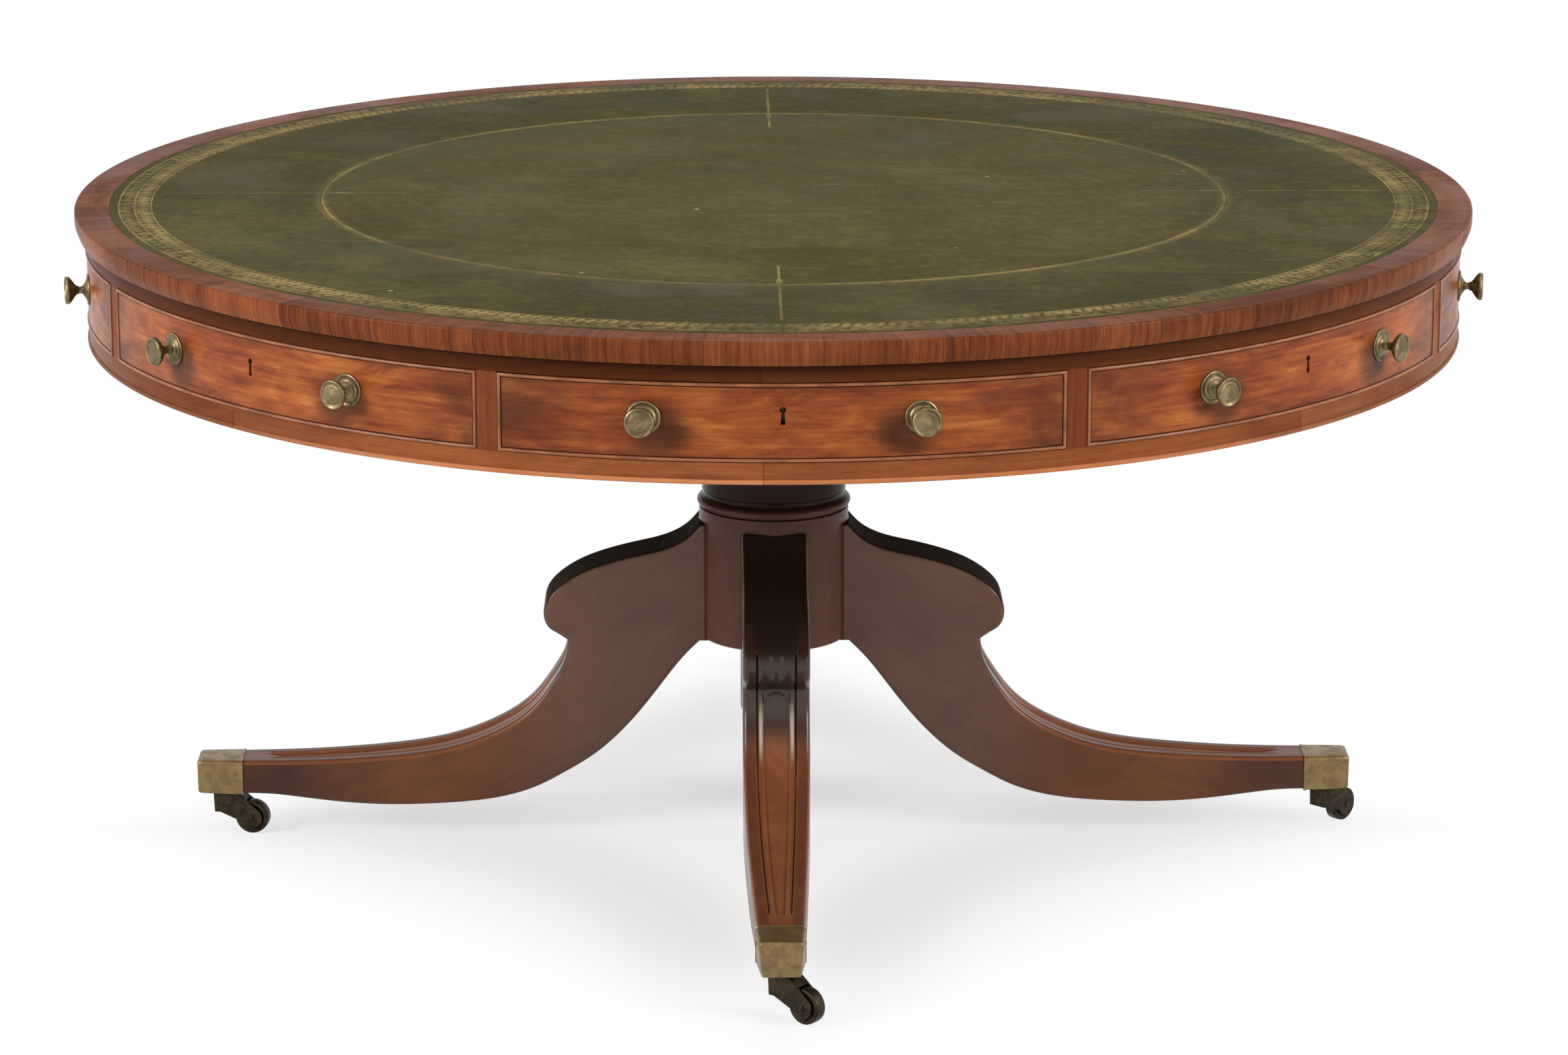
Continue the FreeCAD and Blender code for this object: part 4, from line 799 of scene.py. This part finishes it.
def make_knobs(name, middle, body, node):
    """Two knobs that stand out from the drum, each turned about the way out."""
    outline = [(radius * MM, height * MM) for radius, height in KNOB_OUTLINE]
    for hand, side in ((-1, "left"), (1, "right")):
        angle = middle + hand * KNOB_SPREAD / 2
        out = rotation(angle) @ rotation(pi / 2, "Y")
        place = Matrix.Translation(polar(DRUM_RADIUS, angle, KNOB_LEVEL)) @ out
        dress(lathe(f"{name}_knob_{side}", outline, 48, place=place), body, "brass", brass, node)


def make_frieze():
    make_rails()
    make_stiles()
    for side, degrees in SIDES.items():
        middle = radians(degrees)
        body = f"drawer_{side}"
        make_front(f"drawer_{side}", middle, DRAWER_GAP, body, (f"drawer_front_{side}", f"drawer_bead_{side}"))
        make_knobs(f"drawer_{side}", middle, body, f"drawer_knobs_{side}")
    for place, degrees in enumerate(SHAM_TURNS):
        middle = radians(degrees)
        make_front(f"sham_{place + 1}", middle, SHAM_GAP, "drum", ("false_fronts", "false_front_beads"))
        make_knobs(f"sham_{place + 1}", middle, "drum", "false_front_knobs")


# Pedestal


def arc_points(start, end, rise, steps=8):
    """Points on a shallow arc from start to end that stands off its chord by a rise, to the right."""
    start, end = Vector(start), Vector(end)
    chord = end - start
    side = Vector((chord.y, -chord.x)).normalized()
    return [
        start + chord * share + side * rise * (1 - (2 * share - 1) ** 2)
        for share in (step / steps for step in range(steps + 1))
    ]


def make_turned(name, outline, node):
    """Turned piece of the pedestal."""
    dress(lathe(name, outline, 128, uv_rule=upright_map), "base", "pedestal", pedestal_wood, node)


def make_column():
    """Block, column with its collar, hollow and astragal, and the platform that the drum turns on."""
    collar, collar_radius = 11 * MM, 86.5 * MM
    hollow, neck = 8 * MM, 79 * MM
    shaft, head, flare = 81 * MM, 73 * MM, 104 * MM
    collar_top = BLOCK_TOP + collar
    hollow_top = collar_top + hollow
    capital_bottom = COLUMN_TOP - 28 * MM
    astragal_bottom = capital_bottom - 10 * MM
    shoulder = BLOCK_RADIUS - 2 * MM
    outline = soften(
        [(0, BLOCK_BOTTOM), (BLOCK_RADIUS, BLOCK_BOTTOM, 6 * MM), (BLOCK_RADIUS, BLOCK_TOP - 1 * MM, 0.6 * MM),
         (shoulder, BLOCK_TOP), (0, BLOCK_TOP)]
    )
    make_turned("block", outline, "pedestal_block")
    outline = [
        (0, BLOCK_TOP), (shoulder, BLOCK_TOP),
        *arc_points((BLOCK_RADIUS - 0.5 * MM, BLOCK_TOP + 0.8 * MM), (BLOCK_RADIUS - 1 * MM, collar_top),
                    collar_radius - BLOCK_RADIUS + 0.7 * MM),
        *arc_points((shoulder, collar_top + 0.5 * MM), (shaft - 1 * MM, hollow_top), neck - shaft),
        (shaft, hollow_top + 0.8 * MM), (head, astragal_bottom),
        *arc_points((head, astragal_bottom + 0.5 * MM), (head, capital_bottom), 4 * MM),
        *arc_points((head, capital_bottom + 0.5 * MM), (flare, COLUMN_TOP), -8 * MM),
        (0, COLUMN_TOP),
    ]
    make_turned("column", outline, "pedestal_column")
    edge = (PLATFORM_TOP - COLUMN_TOP) / 2
    outline = [(0, COLUMN_TOP), (PLATFORM_RADIUS, COLUMN_TOP, edge), (PLATFORM_RADIUS, PLATFORM_TOP), (0, PLATFORM_TOP)]
    make_turned("platform", soften(outline), "bearing_platform")


# Legs

LEG_START = 68 * MM
KNEE_REACH = 259.5 * MM
ROOT_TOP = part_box("leg_right")[1].z
NOTCH = Vector((233 * MM, 233.5 * MM))
TOE_TOP = CAP_TOP - 0.8 * MM
TOE_BOTTOM = CAP_BOTTOM + 0.8 * MM
# Knee, from the block to the notch: reach over block to nose, height over notch to root top.
KNEE_SHARES = [
    (0.0, 1.0), (0.074, 0.896), (0.199, 0.803), (0.416, 0.729), (0.604, 0.664), (0.746, 0.595),
    (0.877, 0.494), (0.957, 0.394), (1.0, 0.26), (0.996, 0.178), (0.969, 0.108), (0.912, 0.056),
]
# Instep, from the notch to the cap: reach over notch to cap, height over toe top to notch.
INSTEP_SHARES = [
    (0.0, 1.0), (0.008, 0.854), (0.046, 0.667), (0.116, 0.437), (0.224, 0.253), (0.365, 0.121),
    (0.559, 0.046), (0.8, 0.008), (1.0, 0.0),
]
# Sole, from the cap to the block: reach over block to cap, height over toe bottom to root bottom.
SOLE_SHARES = [
    (1.0, 0.0), (0.946, -0.003), (0.879, -0.023), (0.796, -0.051), (0.678, -0.069), (0.58, -0.061),
    (0.503, -0.044), (0.424, -0.007), (0.358, 0.055), (0.291, 0.156), (0.233, 0.26), (0.183, 0.382),
    (0.139, 0.517), (0.074, 0.757), (0.029, 0.917), (0.0, 1.0),
]


def spread(shares, start, end, low, high):
    """Points at shares of the way from start to end and from low to high."""
    return [Vector((start + across * (end - start), low + up * (high - low))) for across, up in shares]


def smooth_line(points, count):
    """Evenly spaced points and normals on the smooth curve through the points."""
    knots = np.array([tuple(point) for point in points])
    steps = np.linalg.norm(np.diff(knots, axis=0), axis=1)
    length = np.concatenate([[0], np.cumsum(steps)])
    size = len(knots)
    system = np.zeros((size, size))
    system[0, 0] = system[-1, -1] = 1
    wanted = np.zeros_like(knots)
    for row in range(1, size - 1):
        before, after = steps[row - 1], steps[row]
        system[row, row - 1 : row + 2] = before, 2 * (before + after), after
        wanted[row] = 6 * ((knots[row + 1] - knots[row]) / after - (knots[row] - knots[row - 1]) / before)
    bend = np.linalg.solve(system, wanted)
    places = np.linspace(0, length[-1], count)
    part = np.clip(np.searchsorted(length, places, side="right") - 1, 0, size - 2)
    span = steps[part][:, None]
    share = ((places - length[part]) / steps[part])[:, None]
    line = (
        knots[part] * (1 - share)
        + knots[part + 1] * share
        + span**2 / 6 * (((1 - share) ** 3 - (1 - share)) * bend[part] + (share**3 - share) * bend[part + 1])
    )
    run = np.gradient(line, axis=0)
    run /= np.linalg.norm(run, axis=1)[:, None]
    normals = np.stack([-run[:, 1], run[:, 0]], axis=1)
    return line, normals, places


def leg_half(reach):
    """Half the leg's width at a reach: even as far as the knee's nose, then tapered."""
    share = max((reach - LEG_TAPER_START) / (CAP_START - LEG_TAPER_START), 0)
    return LEG_ROOT_HALF + (LEG_TOE_HALF - LEG_ROOT_HALF) * share


LEG_CORNER = 5 * MM
FIELD_DEPTH = 2.4 * MM
FIELD_START = 4 * MM
REED_HALF = 5.8 * MM
REED_LENGTH = 66 * MM
# Places across the top of a leg. The outer ones count from the edge, the inner ones are shares of the field.
EDGE_PLACES = [0.0, 0.08, 0.3, 0.62, 1.0]
MARGINS = [
    6.6 * MM, 8.6 * MM, 11 * MM, GROOVE_START, GROOVE_START + 0.5 * MM, GROOVE_START + GROOVE_WIDTH / 2,
    GROOVE_START + GROOVE_WIDTH - 0.5 * MM, GROOVE_START + GROOVE_WIDTH, 17.4 * MM, 18.3 * MM, 19.4 * MM,
    20.5 * MM, 21.4 * MM, BEAD_END,
]
FIELD_SHARES = [0.94, 0.84, 0.72, 0.6, 0.52, 0.46, 0.42, 0.38, 0.32, 0.22, 0.1, 0.0]


def fade(value, low, high):
    """Smooth step from 0 to 1."""
    share = min(max((value - low) / (high - low), 0), 1)
    return share * share * (3 - 2 * share)


def top_places(half):
    """Places across half a leg's top, as margins from its edge to its middle."""
    inner = half - BEAD_END
    return [LEG_CORNER * share for share in EDGE_PLACES] + MARGINS + [half - inner * share for share in FIELD_SHARES]


def round_over(place, low, high):
    """How far a half-round from low to high has fallen at a place, as a share of its height."""
    middle, reach = (low + high) / 2, (high - low) / 2
    return 1 - sqrt(max(0, 1 - ((place - middle) / reach) ** 2))


def carving(margin, half, run, left):
    """Depth of the moulding below the top of the leg, a margin in from its edge and run metres past the
    notch, less than zero on the knee, with left metres to the cap."""
    depth = LEG_CORNER - sqrt(max(LEG_CORNER**2 - (LEG_CORNER - min(margin, LEG_CORNER)) ** 2, 0))
    if run is None:
        return depth
    centre = half - margin
    bed = GROOVE_START + GROOVE_WIDTH / 2
    started = fade(run, -REED_LENGTH, -REED_LENGTH + 9 * MM)
    ending = fade(left, 22 * MM, 48 * MM)
    reeded = started * (1 - fade(run, -1 * MM, 3 * MM))
    groove = max(0, 1 - abs(margin - bed) / (GROOVE_WIDTH / 2))
    depth += GROOVE_DEPTH * min(1, 1.5 * groove) * started * ending
    if centre < REED_HALF:
        reed = round_over(centre, -REED_HALF, REED_HALF)
    elif margin > bed:
        reed = round_over(centre, REED_HALF, half - bed)
    else:
        reed = 0.6 * round_over(margin, 0, bed)
    depth += GROOVE_DEPTH * reed * reeded
    below = fade(run, 1 * MM, 8 * MM) * ending
    if GROOVE_START + GROOVE_WIDTH < margin <= BEAD_END:
        depth += 1.7 * MM * round_over(margin, GROOVE_START + GROOVE_WIDTH, BEAD_END) * below
    inner = half - BEAD_END
    if centre < inner:
        arch = FIELD_START + inner - sqrt(inner**2 - centre**2)
        depth += FIELD_DEPTH * fade(run, arch - 1 * MM, arch + 1.5 * MM) * ending
    return depth


def make_leg(side, degrees):
    """Sabre leg with a scrolled knee, moulded top and rounded edges."""
    knee = spread(KNEE_SHARES, BLOCK_RADIUS, KNEE_REACH, NOTCH.y, ROOT_TOP) + [NOTCH]
    instep = spread(INSTEP_SHARES, NOTCH.x, CAP_START, TOE_TOP, NOTCH.y)
    sole = spread(SOLE_SHARES, BLOCK_RADIUS, CAP_START, TOE_BOTTOM, BLOCK_BOTTOM)
    knee, knee_normals, knee_runs = smooth_line(knee, 120)
    instep, instep_normals, runs = smooth_line(instep, 170)
    sole, sole_normals, _ = smooth_line(sole, 90)
    # Rows of the outline: its point, its normal and its way past the notch.
    rows = [((LEG_START, ROOT_TOP), (0, 1), None)]
    rows += [*zip(knee, knee_normals, knee_runs - knee_runs[-1]), *zip(instep, instep_normals, runs)]
    upper_count = len(rows)
    rows += [(point, normal, None) for point, normal in zip(sole, sole_normals)]
    rows.append(((LEG_START, BLOCK_BOTTOM), (0, -1), None))
    rows = [(Vector(point), Vector(normal), run) for point, normal, run in rows]

    vertices = []
    for point, normal, run in rows:
        half = leg_half(point.x)
        left = runs[-1] - run if run is not None else 0
        places = [(half - margin, carving(margin, half, run, left)) for margin in top_places(half)]
        across = [(-y, depth) for y, depth in places] + [(y, depth) for y, depth in places[-2::-1]]
        for y, depth in across:
            spot = point - normal * depth
            vertices.append(Vector((spot.x, y, spot.y)))
    width, count = len(across), len(rows)
    rows_on = (*range(upper_count - 1), *range(upper_count, count - 1))
    faces = quads([(row, row + 1) for row in rows_on], width, closed=False)
    # The sides are flat up to the bend where the taper starts, and flat again past it.
    bend = next(row for row in range(len(knee) + 1, upper_count) if rows[row][0].x >= LEG_TAPER_START)
    bend_below = next(row for row in range(upper_count, count) if rows[row][0].x <= LEG_TAPER_START)
    for place in (0, width - 1):
        faces.append(tuple(row * width + place for row in (*range(bend + 1), *range(bend_below, count))))
        faces.append(tuple(row * width + place for row in range(bend, bend_below + 1)))
    toe = upper_count * width
    faces.append((*range(toe - width, toe), *reversed(range(toe, toe + width))))
    root = (*range(width), *reversed(range((count - 1) * width, count * width)))
    faces.append(root[::-1])
    slope = radians(-24)
    shift = degrees / 100

    def leg_map(co, centre):
        local = rotation(-radians(degrees)) @ Vector(co)
        run = local.x * cos(slope) + local.z * sin(slope)
        rise = local.z * cos(slope) - local.x * sin(slope)
        return run + shift, rise + 0.6 * local.y

    turn = rotation(radians(degrees))
    item = piece(f"leg_{side}_carved", vertices, faces, leg_map, 34, turn)
    dress(item, "base", "pedestal", pedestal_wood, f"leg_{side}")


# Caps and castors


def cap_section(reach, lower, upper, inset=0.0):
    """Cross-section of a cap at a reach: narrower below, its upper corners well rounded."""
    lower, upper = lower - inset, upper - inset
    low, high = CAP_BOTTOM + inset, CAP_TOP - inset
    foot, shoulder = 1.4 * MM, 5 * MM
    outline = soften([(-lower, low, foot), (lower, low, foot), (upper, high, shoulder), (-upper, high, shoulder)], 5)
    return [Vector((reach, across, height)) for across, height in outline]


def make_cap(side, degrees):
    """Brass box cap, tapered to its end, with a lip at its mouth and two pins."""
    turn = rotation(radians(degrees))
    mouth = LEG_TOE_HALF + 0.8 * MM
    end_lower, end_upper = 20 * MM, 24 * MM
    length = CAP_END - CAP_START
    # Way from the mouth, and how far the section draws in there.
    stations = [
        (0.0, 0.3), (0.4, -0.3), (2.4, -0.3), (3.0, 0.2), (8.0, 0.2), (20.0, 0.2), (34.0, 0.2), (46.0, 0.3),
        (49.5, 0.6), (51.2, 1.2), (52.0, 2.4),
    ]
    rings = []
    for way, inset in stations:
        share = way * MM / length
        lower, upper = mouth + (end_lower - mouth) * share, mouth + (end_upper - mouth) * share
        rings.append(cap_section(CAP_START + way * MM, lower, upper, inset * MM))
    count, last = len(rings[0]), len(rings) - 1
    vertices = [point for ring in rings for point in ring]
    faces = [tuple(range(count)), tuple(range(last * count, (last + 1) * count))[::-1]]
    faces += quads([(row, row + 1) for row in range(last)], count)
    item = piece(f"cap_{side}", vertices, faces, place=turn)
    dress(item, "base", "brass", cap_brass, f"brass_cap_{side}")
    outline = soften([(0, 0), (2.1 * MM, 0), (2.1 * MM, 0.75 * MM, 0.3 * MM), (0, 0.9 * MM)])
    for hand, letter in ((-1, "a"), (1, "b")):
        middle = (CAP_START + 9 * MM, hand * (mouth - 0.9 * MM), (CAP_BOTTOM + CAP_TOP) / 2 + 4 * MM)
        place = turn @ Matrix.Translation(middle) @ rotation(-hand * pi / 2, "X")
        dress(lathe(f"cap_pin_{side}_{letter}", outline, 20, place=place), "base", "brass", cap_brass)


WHEEL_RADIUS = 19.5 * MM
WHEEL_HALF = 7 * MM
HORN_TOP = CAP_BOTTOM - 0.3 * MM
HORN_HALF = 10.5 * MM
CHEEK_RADIUS = 13 * MM
BOSS_RADIUS = 9.5 * MM
BOSS_DROP = 25 * MM
WHEEL_ROOM = 1.3 * MM
WHEEL_PLAY = 0.8 * MM


def mirrored(corners):
    """Corners of an outline's lower half, and then their images over height 0, the other way round."""
    return corners + [(radius, -height, *rounding) for radius, height, *rounding in reversed(corners)]


def make_horn(name, place, trail, at_axle):
    """Horn with two cheeks, a crown over the wheel and a deep boss in front of the pin."""
    lower, upper = radians(200), radians(62)
    axle = Vector((trail, WHEEL_RADIUS))
    foot = HORN_TOP - BOSS_DROP
    points = [(-BOSS_RADIUS, HORN_TOP), (-BOSS_RADIUS + 1.2 * MM, foot), (-BOSS_RADIUS + 8 * MM, foot)]
    for turn in (lower - TURN + (upper - lower + TURN) * step / 18 for step in range(19)):
        points.append(axle + CHEEK_RADIUS * Vector((cos(turn), sin(turn))))
    points.append((BOSS_RADIUS + 6.4 * MM, HORN_TOP))
    body = prism(name, points, HORN_HALF, place)
    room, side = WHEEL_RADIUS + WHEEL_ROOM, -WHEEL_HALF - WHEEL_PLAY
    cut(body, lathe("wheel_room", mirrored([(0, side), (room, side)]), 48, place=at_axle))
    bevelled(body, 0.7 * MM)
    finish_mesh(body)
    return body


def make_castor(side):
    """Horn, axle and wheel, where the frame's joints have the pin and the hub."""
    joints = {joint["name"]: joint for joint in frame["joints"]}
    pin = Vector(joints[f"castor_{side}_swivel"]["pos_m"])
    hub = Vector(joints[f"wheel_{side}_roll"]["pos_m"])
    way = Vector((hub.x - pin.x, hub.y - pin.y))
    turn = rotation(atan2(way.y, way.x))
    place = Matrix.Translation((pin.x, pin.y, 0)) @ turn
    at_axle = place @ Matrix.Translation((way.length, 0, WHEEL_RADIUS)) @ rotation(pi / 2, "X")
    horn = make_horn(f"horn_{side}", place, way.length, at_axle)
    dress(horn, f"castor_{side}", "castor_brass", castor_brass, f"castor_horn_{side}")
    head = HORN_HALF + 1.2 * MM
    outline = mirrored(
        [(0, -head), (3.6 * MM, -head, 0.8 * MM), (3.6 * MM, -HORN_HALF + 0.1 * MM), (2.9 * MM, -HORN_HALF + 0.2 * MM)]
    )
    axle = lathe(f"axle_{side}", soften(outline), 24, place=at_axle)
    dress(axle, f"castor_{side}", "castor_brass", castor_brass, f"castor_axle_{side}")
    half, dish = WHEEL_HALF, 1.4 * MM
    outline = mirrored(
        [(3.3 * MM, -half), (7 * MM, -half, 0.5 * MM), (7.4 * MM, -half + dish), (13.6 * MM, -half + dish),
         (14 * MM, -half, 0.5 * MM), (WHEEL_RADIUS - 0.8 * MM, -half, 2.2 * MM)]
    )
    outline.insert(len(outline) // 2, (WHEEL_RADIUS, 0, 6 * MM))
    wheel = lathe(f"wheel_{side}", soften(outline), 64, place=at_axle)
    dress(wheel, f"wheel_{side}", "castor_brass", castor_brass, f"castor_wheel_{side}")


def make_brace_screws():
    """Slotted screws that hold the iron strap under the block."""
    under = BLOCK_BOTTOM - 3 * MM
    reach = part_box("leg_brace_plate")[1].x - 12 * MM
    outline = [(0, 1 * MM), (4.6 * MM, 0.4 * MM), (4.6 * MM, 0), (3.4 * MM, -0.9 * MM, 0.6 * MM), (0, -1.1 * MM)]
    for side, degrees in SIDES.items():
        centre = polar(reach, radians(degrees), under)
        screw = lathe(f"brace_screw_{side}", soften(outline), 24, place=Matrix.Translation(centre))
        slot = [(x * 6 * MM, z * 1 * MM) for x, z in ((-1, -2), (1, -2), (1, -0.5), (-1, -0.5))]
        turn = rotation(radians(degrees * 1.7 + 20))
        cut(screw, prism("screw_slot", slot, 0.45 * MM, Matrix.Translation(centre) @ turn))
        finish_mesh(screw)
        dress(screw, "base", "iron", iron)


def make_base():
    make_column()
    make_brace_screws()
    for side, degrees in SIDES.items():
        make_leg(side, degrees)
        make_cap(side, degrees)
        make_castor(side)


# Stage


def add_lamp(name, place, size, power):
    """Square lamp that faces the drum."""
    data = bpy.data.lights.new(name, "AREA")
    data.shape = "SQUARE"
    data.size, data.energy = size, power
    item = bpy.data.objects.new(name, data)
    bpy.context.scene.collection.objects.link(item)
    item.location = place
    item.rotation_euler = (Vector(LAMP_TARGET) - item.location).to_track_quat("-Z", "Y").to_euler()


def seen_directly(tree):
    """1 for rays from the camera, off a gloss or through glass."""
    path = tree.nodes.new("ShaderNodeLightPath")
    total = path.outputs["Is Camera Ray"]
    for kind in ("Is Glossy Ray", "Is Transmission Ray"):
        node = tree.nodes.new("ShaderNodeMath")
        node.operation = "MAXIMUM"
        tree.links.new(total, node.inputs[0])
        tree.links.new(path.outputs[kind], node.inputs[1])
        total = node.outputs[0]
    return total


def mix_shaders(tree, share, first, second, output):
    mix = tree.nodes.new("ShaderNodeMixShader")
    for socket, source in zip(mix.inputs, (share, first.outputs[0], second.outputs[0])):
        tree.links.new(source, socket)
    tree.links.new(mix.outputs[0], output.inputs[0])


def make_world():
    """World that is white to look at and dimmer as a light."""
    world = bpy.data.worlds.new("studio")
    bpy.context.scene.world = world
    world.use_nodes = True
    tree = world.node_tree
    tree.nodes.clear()
    output = tree.nodes.new("ShaderNodeOutputWorld")
    skies = [tree.nodes.new("ShaderNodeBackground") for _ in range(2)]
    for sky, strength in zip(skies, (WORLD_LIGHT, 1.0)):
        sky.inputs["Color"].default_value = (1, 1, 1, 1)
        sky.inputs["Strength"].default_value = strength
    mix_shaders(tree, seen_directly(tree), *skies, output)


def make_floor():
    """Pale floor that keeps the table's shadow near it and runs out to the white background."""
    size = 40.0
    corners = [Vector((x * size, y * size, 0)) for x, y in ((-1, -1), (1, -1), (1, 1), (-1, 1))]
    floor = piece("floor", corners, [(0, 1, 2, 3)])
    surface = Surface("pale_floor")
    x, y = [surface.math("POWER", abs(way), FLOOR_SPREAD) for way in surface.coordinates()[:2]]
    star = surface.math("POWER", x + y, 1 / FLOOR_SPREAD)
    share = star.step(*FLOOR_EDGE, FLOOR_WHITENESS, 1.0) * Value(surface, seen_directly(surface.tree))
    matt = surface.node("BsdfDiffuse", (0.86, 0.86, 0.87, 1))
    white = surface.node("Emission", (1, 1, 1, 1), 1.0)
    mix_shaders(surface.tree, share.socket, matt, white, surface.output)
    floor.data.materials.append(surface.material)


# The camera stands 5.59 m from the table's axis and looks a little down.
CAMERA_DISTANCE = 5.591
CAMERA_HEIGHT = 1.812
CAMERA_OFFSET = 0.0116
CAMERA_PITCH = radians(14.605)
CAMERA_AZIMUTH = radians(0.8)
CAMERA_LENS = 117.6

# How white the floor is beside the table, how far out it turns all white, and the roundness of that edge.
FLOOR_WHITENESS, FLOOR_EDGE, FLOOR_SPREAD = 0.62, (0.45, 0.9), 0.9
WORLD_LIGHT = 0.33
LAMP_TARGET = (0, 0, 0.55)


def make_camera():
    data = bpy.data.cameras.new("camera")
    data.lens = CAMERA_LENS
    data.sensor_width = 36
    camera = bpy.data.objects.new("camera", data)
    bpy.context.scene.collection.objects.link(camera)
    turn = rotation(-CAMERA_AZIMUTH)
    camera.location = turn @ Vector((CAMERA_OFFSET, -CAMERA_DISTANCE, CAMERA_HEIGHT))
    camera.rotation_euler = (pi / 2 - CAMERA_PITCH, 0, -CAMERA_AZIMUTH)
    bpy.context.scene.camera = camera


def make_stage():
    make_camera()
    make_floor()
    make_world()
    add_lamp("lamp_left", (-3.9, -2.2, 2.2), 1.6, 160)
    add_lamp("lamp_right", (3.9, -2.2, 2.2), 1.6, 150)
    add_lamp("lamp_top", (0, 0.6, 4.2), 3.0, 16)
    bpy.context.scene.view_settings.view_transform = "Standard"


paint(carcase_wood, "top_board", "drum_floor", "drawer_partitions", "drawer_runners", "pivot_hub")
paint(lining_wood, *[f"drawer_box_{side}" for side in SIDES])
paint(brass, *[f"drawer_lock_{side}" for side in SIDES])
paint(iron, "pivot_spindle", "leg_brace_plate")
make_leather_pieces()
make_rim()
make_frieze()
make_base()
make_stage()
